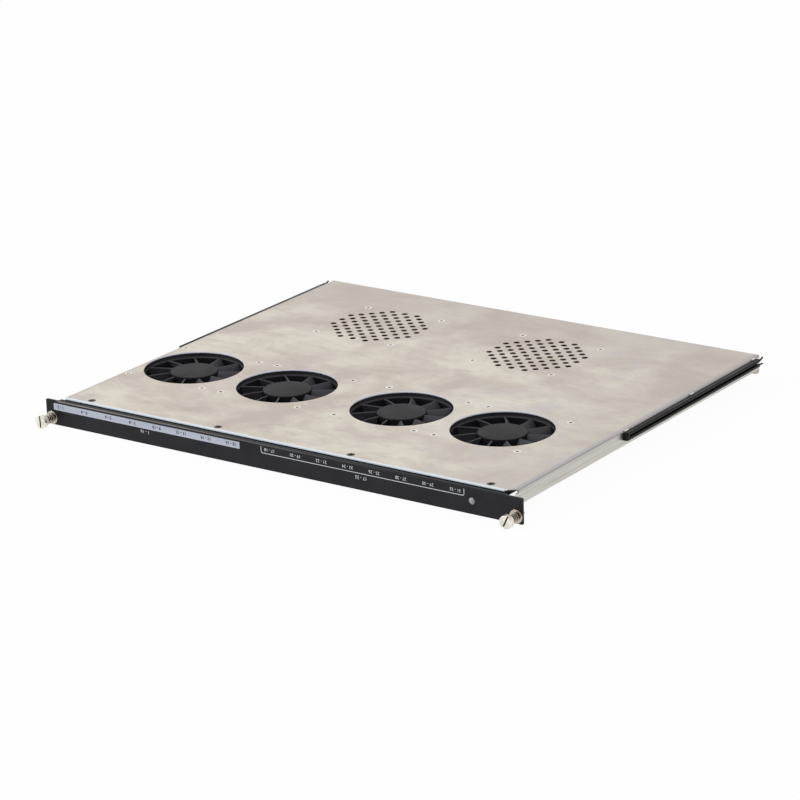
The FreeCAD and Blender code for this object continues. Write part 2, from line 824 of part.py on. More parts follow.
def board_standoffs():
    bore = board_screw_radius + press_clearance
    depth = board_screw_length - board_thickness + press_clearance
    post = cylinder(standoff_radius, 0, standoff_height).cut(cylinder(bore, 0, depth))
    return Part.makeCompound([moved(post, x, y, board_top) for x, y in board_corners()])


def board_screws():
    shank = cylinder(board_screw_radius, 0, board_screw_length)
    head = cylinder(board_screw_head_radius, -board_screw_head, 0)
    rim = [e for e in head.Edges if e.BoundBox.ZMax < -board_screw_head / 2]
    head = head.makeFillet(board_screw_head / 2, rim)
    slot = box(-board_screw_head_radius, board_screw_head_radius, -recess_width / 2, recess_width / 2,
               -board_screw_head, -board_screw_head + recess_depth)
    screw = shank.fuse(head.cut(slot)).removeSplitter()
    return Part.makeCompound([moved(screw, x, y, board_under) for x, y in board_corners()])


def fan_headers():
    """One three-pin header for each fan, in a row along the board's front: base, lock tab and pins."""
    half_w, half_d, half_pin = header_width / 2, header_depth / 2, header_pin / 2
    base = box(-half_w, half_w, -half_d, half_d, -header_base, 0)
    lock = box(-header_lock_width / 2, header_lock_width / 2, half_d - header_lock, half_d, -header_height, 0)
    pins = [box(x - half_pin, x + half_pin, -half_pin, half_pin, -header_height, 0)
            for x in (-header_pin_pitch, 0, header_pin_pitch)]
    header = base.fuse([lock] + pins).removeSplitter()
    front, rear = fan_places()
    count = len(front + rear)
    y = board_front + header_front_gap + board_corner_inset
    return Part.makeCompound([moved(header, board_x + (i - (count - 1) / 2) * header_pitch, y, board_under)
                              for i in range(count)])


def rear_connector():
    """Shrouded socket that passes through the rear wall and plugs into the chassis."""
    half = connector_width / 2
    shell = box(board_x - half, board_x + half, connector_rear - connector_depth, connector_rear,
                board_under - connector_height, board_under)
    pocket = box(board_x - half + connector_wall, board_x + half - connector_wall,
                 connector_rear - connector_depth + connector_floor, connector_rear,
                 board_under - connector_height + connector_wall, board_under - connector_wall)
    return shell.cut(pocket)


def connector_pins():
    floor = connector_rear - connector_depth + connector_floor
    tip = connector_rear - connector_wall
    middle = board_under - connector_height / 2
    half = connector_pin / 2
    pins = []
    for row in (-0.5, 0.5):
        z = middle + row * connector_row_pitch
        for i in range(connector_pins_per_row):
            x = board_x + (i - (connector_pins_per_row - 1) / 2) * connector_pin_pitch
            pins.append(box(x - half, x + half, floor, tip, z - half, z + half))
    return Part.makeCompound(pins)


def save_fans():
    front, rear = fan_places()
    fixed = {"fan_frame": fan_frame(), "stator": stator(), "bearing": bearing()}
    turning = {"impeller": impeller(), "rotor_magnet": rotor_magnet(), "shaft": shaft()}
    for number, (x, y) in enumerate(front + rear, start=1):
        for name, shape in fixed.items():
            save(f"{name}_{number}", moved(shape, x, y, fan_base))
        angle = blade_tip_at[number - 1] - blade_tip_lead_angle
        for name, shape in turning.items():
            save(f"{name}_{number}", moved(rotated(shape, angle), x, y, fan_base))


def save_pairs():
    captive = {"captive_retainer": captive_retainer(), "captive_spring": captive_spring(),
               "captive_screw": captive_screw()}
    for side, x in captive_x.items():
        for name, shape in captive.items():
            placed = shape.copy()
            if name == "captive_screw":
                placed.rotate(origin, rearward, captive_slot_turn[side])
            save(f"{name}_{side}", moved(placed, x, panel_face, captive_height))
    rail = side_rail()
    save("side_rail_right", rail)
    save("side_rail_left", mirrored(rail))


def main():
    os.makedirs("parts", exist_ok=True)
    for piece in (tray, front_panel, panel_screws, fan_screws, led, led_holder, connector_board,
                  board_standoffs, board_screws, fan_headers, rear_connector, connector_pins):
        save(piece.__name__, piece())
    save_fans()
    save_pairs()


main()
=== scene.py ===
import json
import math

import bmesh
import bpy
import numpy as np
from mathutils import Matrix, Vector


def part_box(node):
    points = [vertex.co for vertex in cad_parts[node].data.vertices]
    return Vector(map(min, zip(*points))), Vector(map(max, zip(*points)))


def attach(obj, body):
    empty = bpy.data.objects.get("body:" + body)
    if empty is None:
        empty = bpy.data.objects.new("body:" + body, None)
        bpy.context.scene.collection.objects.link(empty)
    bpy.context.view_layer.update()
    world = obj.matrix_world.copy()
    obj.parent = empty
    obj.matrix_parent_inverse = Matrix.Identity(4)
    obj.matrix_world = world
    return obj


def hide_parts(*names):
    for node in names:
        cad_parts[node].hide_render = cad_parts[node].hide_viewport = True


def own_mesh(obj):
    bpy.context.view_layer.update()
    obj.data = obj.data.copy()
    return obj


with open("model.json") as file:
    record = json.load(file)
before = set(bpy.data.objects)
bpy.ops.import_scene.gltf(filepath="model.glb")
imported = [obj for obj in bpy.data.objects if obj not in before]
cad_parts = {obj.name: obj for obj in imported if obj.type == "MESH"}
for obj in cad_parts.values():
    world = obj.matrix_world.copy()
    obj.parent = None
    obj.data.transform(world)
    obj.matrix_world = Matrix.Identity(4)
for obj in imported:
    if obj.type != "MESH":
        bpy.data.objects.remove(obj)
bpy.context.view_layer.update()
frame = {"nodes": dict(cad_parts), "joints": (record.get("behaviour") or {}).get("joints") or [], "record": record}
nodes = frame["nodes"]
joints = {joint["name"]: joint for joint in frame["joints"]}
mm = 0.001
tiny = 1e-9
trayLow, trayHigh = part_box("tray")
panelLow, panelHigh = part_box("front_panel")
fanNumbers = range(1, 7)
fanMiddles = [(*joints[f"fan_{number}_spin"]["pos_m"][:2], 0) for number in fanNumbers]
openFans = fanMiddles[:4]


def srgb(red, green, blue):
    # screen values from 0 to 255 as the linear colour that a shader takes
    values = np.array([red, green, blue]) / 255
    linear = np.where(values <= 0.04045, values / 12.92, ((values + 0.055) / 1.055) ** 2.4)
    return (*linear.tolist(), 1.0)


# Mesh helpers

def gridFaces(rows, columns, wrapRows, wrapColumns, first):
    # quads between neighbouring rows and columns; a wrapped direction also joins its last line to its first
    row, column = np.meshgrid(np.arange(rows if wrapRows else rows - 1),
                              np.arange(columns if wrapColumns else columns - 1), indexing="ij")
    nextRow, nextColumn = (row + 1) % rows, (column + 1) % columns
    corners = [row * columns + column, row * columns + nextColumn,
               nextRow * columns + nextColumn, nextRow * columns + column]
    return first + np.stack(corners, axis=-1).reshape(-1, 4)


def weld(mesh, distance=1e-6):
    # merges doubled points, closes poles and turns every face outwards
    work = bmesh.new()
    work.from_mesh(mesh)
    bmesh.ops.remove_doubles(work, verts=work.verts, dist=distance)
    bmesh.ops.dissolve_degenerate(work, edges=work.edges, dist=distance)
    bmesh.ops.recalc_face_normals(work, faces=work.faces)
    work.to_mesh(mesh)
    work.free()


def shadeSmooth(mesh):
    mesh.polygons.foreach_set("use_smooth", np.ones(len(mesh.polygons), dtype=bool))


def newObject(name, data):
    made = bpy.data.objects.new(name, data)
    bpy.context.scene.collection.objects.link(made)
    return made


def addPiece(name, mesh, body, slot, finish=None):
    # a piece has the finish of its slot, or one of its own
    mesh.materials.clear()
    mesh.materials.append(finishes[finish or slot])
    piece = newObject(name, mesh)
    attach(piece, body)
    return piece


def surfacePiece(name, grids, body, slot, sharpAngle=38, finish=None):
    # each grid is (points as rows x columns x 3, rows wrap, columns wrap)
    points, faces, first = [], [], 0
    for grid, wrapRows, wrapColumns in grids:
        rows, columns = grid.shape[:2]
        points.append(grid.reshape(-1, 3))
        faces.append(gridFaces(rows, columns, wrapRows, wrapColumns, first))
        first += rows * columns
    mesh = bpy.data.meshes.new(name)
    mesh.from_pydata(np.concatenate(points).tolist(), [], np.concatenate(faces).tolist())
    weld(mesh)
    shadeSmooth(mesh)
    mesh.set_sharp_from_angle(angle=math.radians(sharpAngle))
    return addPiece(name, mesh, body, slot, finish)


def roundedOutline(corners, steps=6):
    # outline through (across, along, radius) corners, each radius drawn as an arc tangent to both its sides
    corners = np.array(corners, dtype=float)
    places, radii = corners[:, :2], corners[:, 2]
    before, after = np.roll(places, 1, axis=0) - places, np.roll(places, -1, axis=0) - places
    before /= np.linalg.norm(before, axis=1, keepdims=True)
    after /= np.linalg.norm(after, axis=1, keepdims=True)
    half = np.arccos(np.clip((before * after).sum(axis=1), -1, 1)) / 2
    middle = before + after
    middle /= np.maximum(np.linalg.norm(middle, axis=1, keepdims=True), tiny)
    centre = places + middle * (radii / np.sin(half))[:, None]
    start = places + before * (radii / np.tan(half))[:, None] - centre
    end = places + after * (radii / np.tan(half))[:, None] - centre
    share = np.linspace(0, 1, steps)[None, :, None]
    sweep = (math.pi - 2 * half)[:, None, None]
    safe = np.maximum(np.sin(sweep), tiny)
    arc = (np.sin((1 - share) * sweep) * start[:, None] + np.sin(share * sweep) * end[:, None]) / safe
    return (centre[:, None] + arc).reshape(-1, 2)


def roundTurn(steps):
    return np.linspace(0, 2 * math.pi, steps, endpoint=False)


def turnedGrid(profile, centre, axis, steps):
    # profile of (radius, along) points carried once round an axis through the centre
    turn = roundTurn(steps)[:, None]
    radius, along = profile[:, 0][None], profile[:, 1][None]
    one, two = radius * np.cos(turn), radius * np.sin(turn)
    level = np.broadcast_to(along, one.shape)
    order = (one, two, level) if axis == "z" else (one, level, two)
    return np.stack(order, axis=-1) + np.array(centre)


# Node helpers for the finishes

def newMaterial(name):
    material = bpy.data.materials.new(name)
    material.use_nodes = True
    tree = material.node_tree
    shader = tree.nodes["Principled BSDF"]
    place = tree.nodes.new("ShaderNodeTexCoord")
    return material, tree, shader, place.outputs["Object"]


def feed(tree, socket, value):
    # a socket takes another socket's value, or a fixed one
    if isinstance(value, bpy.types.NodeSocket):
        tree.links.new(value, socket)
    else:
        socket.default_value = value


def dress(tree, shader, inputs):
    for name, value in inputs.items():
        feed(tree, shader.inputs[name], value)


def maths(tree, operation, first, *others):
    # works through the values one after the other; an operation on one value has no others
    result = first
    for other in others or (0.0,):
        node = tree.nodes.new("ShaderNodeMath")
        node.operation = operation
        feed(tree, node.inputs[0], result)
        feed(tree, node.inputs[1], other)
        result = node.outputs[0]
    return result


def vectorMaths(tree, operation, first, second):
    node = tree.nodes.new("ShaderNodeVectorMath")
    node.operation = operation
    feed(tree, node.inputs[0], first)
    feed(tree, node.inputs[1], second)
    return node.outputs["Value" if operation in ("DISTANCE", "DOT_PRODUCT") else "Vector"]


def axes(tree, place):
    node = tree.nodes.new("ShaderNodeSeparateXYZ")
    tree.links.new(place, node.inputs["Vector"])
    return node.outputs["X"], node.outputs["Y"], node.outputs["Z"]


def noise(tree, source, scale, detail=3.0, stretch=(1, 1, 1), distortion=0.0, breakUp=0.5):
    mapping = tree.nodes.new("ShaderNodeMapping")
    mapping.inputs["Scale"].default_value = stretch
    texture = tree.nodes.new("ShaderNodeTexNoise")
    dress(tree, texture, {"Scale": scale, "Detail": detail, "Distortion": distortion, "Roughness": breakUp,
                          "Vector": mapping.outputs["Vector"]})
    tree.links.new(source, mapping.inputs["Vector"])
    return texture.outputs["Fac"]


def ramp(tree, source, stops, tones):
    node = tree.nodes.new("ShaderNodeValToRGB")
    elements = node.color_ramp.elements
    while len(elements) < len(stops):
        elements.new(0.5)
    for element, position, tone in zip(elements, stops, tones):
        element.position = position
        element.color = srgb(*tone)
    tree.links.new(source, node.inputs["Fac"])
    return node.outputs["Color"]


def spread(tree, source, low, high, start=0.3, end=0.7):
    # stretches a value from start..end to low..high
    node = tree.nodes.new("ShaderNodeMapRange")
    dress(tree, node, {"From Min": start, "From Max": end, "To Min": low, "To Max": high, "Value": source})
    return node.outputs["Result"]


def mix(tree, kind, share, first, second):
    node = tree.nodes.new("ShaderNodeMix")
    node.data_type = kind
    sockets = [socket for socket in node.inputs if socket.enabled]
    for socket, value in zip(sockets, (share, first, second)):
        feed(tree, socket, value)
    return next(socket for socket in node.outputs if socket.enabled)


def layered(tree, tone, *layers):
    # each layer is a share and the tone or socket that covers what lies under it
    for share, cover in layers:
        cover = srgb(*cover) if isinstance(cover, tuple) else cover
        tone = mix(tree, "RGBA", share, tone, cover)
    return tone


def toWorld(tree, way):
    # a direction fixed in the object, as the render sees it
    node = tree.nodes.new("ShaderNodeVectorTransform")
    node.vector_type, node.convert_from, node.convert_to = "NORMAL", "OBJECT", "WORLD"
    node.inputs["Vector"].default_value = way
    return node.outputs["Vector"]


def bump(tree, shader, height, strength, distance):
    node = tree.nodes.new("ShaderNodeBump")
    dress(tree, node, {"Strength": strength, "Distance": distance, "Height": height})
    tree.links.new(node.outputs["Normal"], shader.inputs["Normal"])
    return node


def nearFan(tree, place, middle, reach, fade):
    # one within a distance of a fan's axis
    flat = vectorMaths(tree, "MULTIPLY", place, (1, 1, 0))
    away = vectorMaths(tree, "DISTANCE", flat, middle)
    return spread(tree, away, 1.0, 0.0, reach, reach + fade)


def nearFans(tree, place, reach, fade):
    return maths(tree, "MAXIMUM", *(nearFan(tree, place, middle, reach, fade) for middle in fanMiddles))


# Finishes. A Noise entry holds what noise takes, a Share entry what spread takes (low and high value, then start and
# end of the source), a Bump entry a strength and a height, and Stops the places of the Tones on a ramp. Tones are
# screen values

steel = {"cloudNoise": {"scale": 15.0, "detail": 8.0, "stretch": (1, 1.2, 1), "distortion": 0.4, "breakUp": 0.64},
         "cloudStops": (0.39, 0.5, 0.61),
         "cloudTones": ((197, 186, 176), (209, 200, 188), (219, 213, 199)),
         "veilNoise": {"scale": 38.0, "detail": 8.0, "stretch": (0.8, 1.2, 1), "distortion": 0.3, "breakUp": 0.64},
         "veilShare": (0.0, 0.6, 0.5, 0.68), "veilTone": (193, 183, 175),
         "smearNoise": {"scale": 95.0, "detail": 5.0, "stretch": (0.5, 1.3, 1), "distortion": 0.4, "breakUp": 0.64},
         "smearShare": (0.0, 0.42, 0.54, 0.7), "smearTone": (182, 171, 162),
         "rearShare": (0.0, 0.6, 0.06, 0.16), "sideShare": (0.0, 0.5, 0.10, 0.20), "rearSideShadeTone": (185, 175, 169),
         "bloomNoise": {"scale": 26.0, "detail": 6.0, "distortion": 0.3, "breakUp": 0.64},
         "bloomShare": (0.0, 0.6, 0.5, 0.64), "bloomSideShare": (0.0, 1.0, 0.02, 0.14),
         "bloomTone": (193, 186, 189),
         "wallNoise": {"scale": 700.0, "detail": 2.0, "stretch": (1, 0.02, 1)}, "wallStops": (0.35, 0.6),
         "wallTones": ((180, 176, 172), (204, 201, 194)), "wallSkin": 0.3 * mm,
         "foldShadeTone": (180, 175, 175), "foldReach": (5.2 * mm, 3.4 * mm), "foldDrops": (1.6 * mm, 0.8 * mm),
         "leftFoldShade": 0.25, "hemHighlightTone": (232, 240, 250), "hemDepths": (2.2 * mm / 3, 2.2 * mm),
         "hemFace": (0.5 * mm, 1.0 * mm), "hemTilt": (0, -0.6, 0.8),
         "tabHighlightTone": (236, 235, 231), "tabReach": 1.0 * mm,
         "rimHighlightTone": (205, 207, 219), "rimReach": 39.87 * mm, "rimFade": 0.05 * mm, "rimWay": (-0.577, 0.817, 0),
         "rimFar": (8 * mm, 26 * mm), "rimMatt": 0.92,
         "grainNoise": {"scale": 900.0, "detail": 2.0, "stretch": (0.12, 1, 1)}, "grainBump": (0.06, 0.02 * mm),
         "roughness": (0.46, 0.34)}
plateLeft, plateRight = trayLow.x, trayHigh.x - steel["tabReach"]


def farRimHighlights(tree, place):
    # one where a highlight is painted on the far edge of each open fan cut-out: closer to the fan's axis than the
    # rim's reach, and well along the way across it
    rimHighlights = []
    for middle in openFans:
        out = vectorMaths(tree, "SUBTRACT", place, middle)
        run = vectorMaths(tree, "DOT_PRODUCT", out, steel["rimWay"])
        close = nearFan(tree, place, middle, steel["rimReach"], steel["rimFade"])
        rimHighlights.append(maths(tree, "MULTIPLY", close, spread(tree, run, 0.0, 1.0, *steel["rimFar"])))
    return maths(tree, "MAXIMUM", *rimHighlights)


def sheetSteelFinish():
    # warm grey sheet: soft clouds and veils, drawn-out smears and a fine rolled grain. A cool painted highlight lies on
    # the pressed front edge, the far rims of the open fan cut-outs and the tabs at the right; painted shade darkens the
    # folds, and painted shade darkens the plate to the rear and to the right
    material, tree, shader, place = newMaterial("sheet_steel")
    x, y, z = axes(tree, place)
    cloud, veil, smear, bloom, streak, grain = (
        noise(tree, place, **steel[f"{layer}Noise"]) for layer in ("cloud", "veil", "smear", "bloom", "wall", "grain"))
    # painted shade: the plate darkens to the rear and to the right
    shade = maths(tree, "MAXIMUM", spread(tree, y, *steel["rearShare"]), spread(tree, x, *steel["sideShare"]))
    cool = maths(tree, "MULTIPLY", spread(tree, bloom, *steel["bloomShare"]),
                 spread(tree, x, *steel["bloomSideShare"]))
    middle, half = (plateLeft + plateRight) / 2, (plateRight - plateLeft) / 2
    skin = steel["wallSkin"]
    aside = maths(tree, "ABSOLUTE", maths(tree, "SUBTRACT", x, middle))
    wall = spread(tree, aside, 0.0, 1.0, half - 2 * skin, half - skin)
    brushed = ramp(tree, streak, steel["wallStops"], steel["wallTones"])
    # painted shade along the folds, less at the left
    foldShade = maths(tree, "MULTIPLY", spread(tree, aside, 0.0, 1.0, *(half - reach for reach in steel["foldReach"])),
                 spread(tree, z, 0.0, 1.0, *(trayHigh.z - drop for drop in steel["foldDrops"])),
                 spread(tree, x, steel["leftFoldShade"], 1.0, plateLeft, plateRight))
    # painted highlight, cool and pale, along the pressed front edge
    hemHighlight = spread(tree, y, 1.0, 0.0, *(trayLow.y + depth for depth in steel["hemDepths"]))
    # painted highlight on the tabs beyond the right wall
    tabHighlight = spread(tree, x, 0.0, 1.0, plateRight, plateRight + skin)
    # painted highlight on the far rims of the open fan cut-outs
    rimHighlight = farRimHighlights(tree, place)
    tone = layered(tree, ramp(tree, cloud, steel["cloudStops"], steel["cloudTones"]),
                   (spread(tree, veil, *steel["veilShare"]), steel["veilTone"]),
                   (spread(tree, smear, *steel["smearShare"]), steel["smearTone"]),
                   (shade, steel["rearSideShadeTone"]), (cool, steel["bloomTone"]), (wall, brushed),
                   (foldShade, steel["foldShadeTone"]), (hemHighlight, steel["hemHighlightTone"]), (tabHighlight, steel["tabHighlightTone"]),
                   (rimHighlight, steel["rimHighlightTone"]))
    # the front face of that edge is matt and shades with a normal tilted up and forward, so that it lights evenly
    face = spread(tree, y, 1.0, 0.0, *(trayLow.y + depth for depth in steel["hemFace"]))
    matt = maths(tree, "MAXIMUM", maths(tree, "MULTIPLY", rimHighlight, steel["rimMatt"]), face)
    dress(tree, shader, {"Base Color": tone, "Metallic": maths(tree, "SUBTRACT", 1.0, matt),
                         "Roughness": spread(tree, cloud, *steel["roughness"])})
    rolled = bump(tree, shader, grain, *steel["grainBump"])
    normal = tree.nodes.new("ShaderNodeNewGeometry").outputs["Normal"]
    tree.links.new(mix(tree, "VECTOR", face, normal, toWorld(tree, steel["hemTilt"])), rolled.inputs["Normal"])
    return material


paint = {"patchNoise": {"scale": 60.0}, "patchStops": (0.3, 0.7),
         "patchTones": ((35, 35, 38), (42, 42, 45)), "roughness": (0.27, 0.35), "gloss": 0.13,
         "grainNoise": {"scale": 1400.0, "detail": 2.0}, "grainBump": (0.25, 0.015 * mm),
         "rubNoise": {"scale": 160.0, "detail": 4.0, "stretch": (0.3, 1, 1)}, "highlightBreakShare": (0.7, 1.0),
         "bendHighlightTone": (144, 138, 136), "bendLowShare": (0.0, 1.0, 18.32 * mm, 18.62 * mm),
         "bendHighShare": (1.0, 0.0, 19.02 * mm, 19.25 * mm), "bendDepths": (1.3 * mm, 1.5 * mm),
         "highlightLeftShare": (0.0, 1.0, -0.204, -0.201), "highlightRightShare": (1.0, 0.0, -0.18, 0.10),
         "gapShadeTone": (12, 12, 13), "gapReach": (2.8 * mm, 1.4 * mm), "gapDrops": (0.4 * mm, 0.2 * mm),
         "gapShadeShare": 0.85}


def blackPaintFinish():
    # fine-textured powder coat: a dense small bump with slight changes of tone, a painted highlight along the crown of
    # the bend, most at the left end, and painted shade, dark and without gloss, where the flange goes in under the hem
    material, tree, shader, place = newMaterial("black_paint")
    x, y, z = axes(tree, place)
    patch, rub, grain = (noise(tree, place, **paint[f"{layer}Noise"]) for layer in ("patch", "rub", "grain"))
    # painted highlight along the crown of the bend, broken up by noise and fading to the right
    bendHighlight = maths(tree, "MULTIPLY", spread(tree, z, *paint["bendLowShare"]), spread(tree, z, *paint["bendHighShare"]),
                 spread(tree, y, 1.0, 0.0, *(panelLow.y + depth for depth in paint["bendDepths"])),
                 spread(tree, x, *paint["highlightLeftShare"]), spread(tree, x, *paint["highlightRightShare"]),
                 spread(tree, rub, *paint["highlightBreakShare"]))
    # painted shade, dark and without gloss, where the flange goes in under the hem
    paintedShade = maths(tree, "MULTIPLY",
                 spread(tree, y, 0.0, paint["gapShadeShare"], *(trayLow.y - reach for reach in paint["gapReach"])),
                 spread(tree, z, 0.0, 1.0, *(panelHigh.z - drop for drop in paint["gapDrops"])))
    tone = layered(tree, ramp(tree, patch, paint["patchStops"], paint["patchTones"]),
                   (paintedShade, paint["gapShadeTone"]), (bendHighlight, paint["bendHighlightTone"]))
    gloss = maths(tree, "MULTIPLY", maths(tree, "SUBTRACT", 1.0, paintedShade), paint["gloss"])
    dress(tree, shader, {"Base Color": tone, "Specular IOR Level": gloss,
                         "Roughness": spread(tree, patch, *paint["roughness"])})
    bump(tree, shader, grain, *paint["grainBump"])
    return material


def plainFinish(name, recipe, tones, roughness, fixed):
    # tones over one noise, which also sets the roughness, and a fine bump where the recipe has one
    material, tree, shader, place = newMaterial(name)
    base = noise(tree, place, **recipe["baseNoise"])
    dress(tree, shader, {"Base Color": ramp(tree, base, recipe["stops"], tones),
                         "Roughness": spread(tree, base, *roughness), **fixed})
    if "bump" in recipe:
        bump(tree, shader, noise(tree, place, **recipe["bumpNoise"]), *recipe["bump"])
    return material


def opened(material):
    # what a finish needs for more layers: its tree, the input for its tone, the tone so far, and the place
    tree = material.node_tree
    colour = tree.nodes["Principled BSDF"].inputs["Base Color"]
    return tree, colour, colour.links[0].from_socket, tree.nodes["Texture Coordinate"].outputs["Object"]


moulded = {"baseNoise": {"scale": 45.0, "stretch": (1, 1, 0.4), "distortion": 0.5}, "stops": (0.3, 0.7),
           "bumpNoise": {"scale": 700.0, "detail": 2.0}, "bump": (0.2, 0.02 * mm)}


def mouldedFinish(name, dark, light, roughness, gloss=0.4):
    # moulded plastic: faint flow marks and spark-eroded grain
    return plainFinish(name, moulded, (dark, light), roughness, {"Specular IOR Level": gloss})


impellerTone = {"blades": ((69, 67, 72), (79, 77, 82)), "hub": (39, 37, 39), "drumShade": (25, 24, 27),
                "roughness": (0.46, 0.56), "gloss": 0.12, "hubTop": trayHigh.z - 2.2 * mm, "drumReach": 18.9 * mm,
                "fade": 0.3 * mm}


def impellerFinish():
    # moulded blades, a darker hub face, and painted shade, darkest of all, on the hub's side down in the fan
    material = mouldedFinish("impeller", *impellerTone["blades"], impellerTone["roughness"], impellerTone["gloss"])
    tree, colour, tone, place = opened(material)
    fade, hubTop = impellerTone["fade"], impellerTone["hubTop"]
    # painted shade on the hub's side
    drumShade = nearFans(tree, place, impellerTone["drumReach"], fade)
    top = spread(tree, axes(tree, place)[2], 0.0, 1.0, hubTop - fade, hubTop)
    feed(tree, colour, layered(tree, tone, (drumShade, impellerTone["drumShade"]), (top, impellerTone["hub"])))
    return material


frameTone = {"body": ((23, 22, 26), (30, 29, 33)), "roughness": (0.4, 0.52), "gloss": 0.2,
             "lip": (74, 72, 78), "lipLowDrops": (4.95 * mm, 4.6 * mm), "lipHighDrops": (4.1 * mm, 3.0 * mm),
             "boreReach": 39.0 * mm, "fade": 0.2 * mm}


def frameFinish():
    # moulded frame with a painted highlight: a paler ring low on the flare of its bore
    material = mouldedFinish("fan_frame", *frameTone["body"], frameTone["roughness"], frameTone["gloss"])
    tree, colour, tone, place = opened(material)
    z = axes(tree, place)[2]
    # painted highlight: a paler ring low on the bore's flare
    boreHighlight = maths(tree, "MULTIPLY", spread(tree, z, 0.0, 1.0, *(trayHigh.z - drop for drop in frameTone["lipLowDrops"])),
                 spread(tree, z, 1.0, 0.0, *(trayHigh.z - drop for drop in frameTone["lipHighDrops"])),
                 nearFans(tree, place, frameTone["boreReach"], frameTone["fade"]))
    feed(tree, colour, layered(tree, tone, (boreHighlight, frameTone["lip"])))
    return material


plated = {"baseNoise": {"scale": 160.0, "detail": 4.0, "distortion": 0.4}, "stops": (0.3, 0.65),
          "bumpNoise": {"scale": 1900.0, "detail": 2.0, "stretch": (1, 0.2, 1)}, "bump": (0.15, 0.006 * mm)}


def platedFinish(name, dark, light, roughness):
    # bright plated metal: small stains, and fine scratches in the bump
    return plainFinish(name, plated, (dark, light), roughness, {"Metallic": 1.0})


boltToneAndShade = {"axisX": joints["right_screw_turn"]["pos_m"][0], "axisZ": joints["right_screw_turn"]["pos_m"][2],
            "front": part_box("captive_screw_right")[0].y, "fade": 0.3 * mm,
            "zones": ((6.0 * mm, 12.7 * mm, 14.3 * mm, (184, 176, 164)),
                      (4.2 * mm, 0.6 * mm, 2.2 * mm, (62, 55, 49)),
                      (2.2 * mm, 4.4 * mm, 14.3 * mm, (40, 35, 31)))}


def boltFinish(name, light, bright, roughness):
    # bright head, duller on the retainer's flange, and painted shade, dark, in the slot and on the neck from the head
    # to the panel inside the spring. Each zone is a radius about the screw's axis, a start and end behind the head's
    # face, and a tone
    material = platedFinish(name, light, bright, roughness)
    tree, colour, tone, place = opened(material)
    x, y, z = axes(tree, place)
    across = maths(tree, "SUBTRACT", maths(tree, "ABSOLUTE", x), boltToneAndShade["axisX"])
    rise = maths(tree, "SUBTRACT", z, boltToneAndShade["axisZ"])
    away = maths(tree, "SQRT", maths(tree, "ADD", maths(tree, "MULTIPLY", across, across),
                                     maths(tree, "MULTIPLY", rise, rise)))
    depth = maths(tree, "SUBTRACT", y, boltToneAndShade["front"])
    fade = boltToneAndShade["fade"]
    layers = []
    # the second and third zones are painted shade: the slot, and the neck inside the spring
    for radius, start, end, zoneTone in boltToneAndShade["zones"]:
        zoneShare = maths(tree, "MULTIPLY", spread(tree, away, 1.0, 0.0, radius, radius + fade),
                      spread(tree, depth, 0.0, 1.0, start, start + fade),
                      spread(tree, depth, 1.0, 0.0, end, end + fade))
        layers.append((zoneShare, zoneTone))
    feed(tree, colour, layered(tree, tone, *layers))
    return material


recess = {"drops": (0.3 * mm, 0.12 * mm)}


def recessedScrewFinish(name, dark, light, roughness, paintedShade):
    # plated head with painted shade in its recess, dark below the plate's level
    material = platedFinish(name, dark, light, roughness)
    tree, colour, tone, place = opened(material)
    # painted shade in the recess
    deep = spread(tree, axes(tree, place)[2], 1.0, 0.0, *(trayHigh.z - drop for drop in recess["drops"]))
    feed(tree, colour, layered(tree, tone, (deep, paintedShade)))
    return material


board = {"trackNoise": {"scale": 260.0, "detail": 0.0, "stretch": (1, 0.15, 1)}, "trackStops": (0.45, 0.55),
         "trackTones": ((18, 62, 36), (28, 84, 50)), "trackBump": (0.3, 0.03 * mm),
         "weaveNoise": {"scale": 1200.0, "detail": 1.0, "stretch": (1, 0.3, 1)}, "roughness": (0.22, 0.34)}


def boardFinish():
    # green solder mask over a faint weave and raised tracks
    material, tree, shader, place = newMaterial("board_mask")
    track, weave = (noise(tree, place, **board[f"{layer}Noise"]) for layer in ("track", "weave"))
    dress(tree, shader, {"Base Color": ramp(tree, track, board["trackStops"], board["trackTones"]),
                         "Roughness": spread(tree, weave, *board["roughness"])})
    bump(tree, shader, track, *board["trackBump"])
    return material


# milky clear lamp with a cloudy core
lens = {"baseNoise": {"scale": 700.0}, "stops": (0.3, 0.7),
        "tones": ((176, 176, 180), (222, 223, 226)), "roughness": (0.06, 0.14),
        "milky": {"Transmission Weight": 0.7, "IOR": 1.5}}

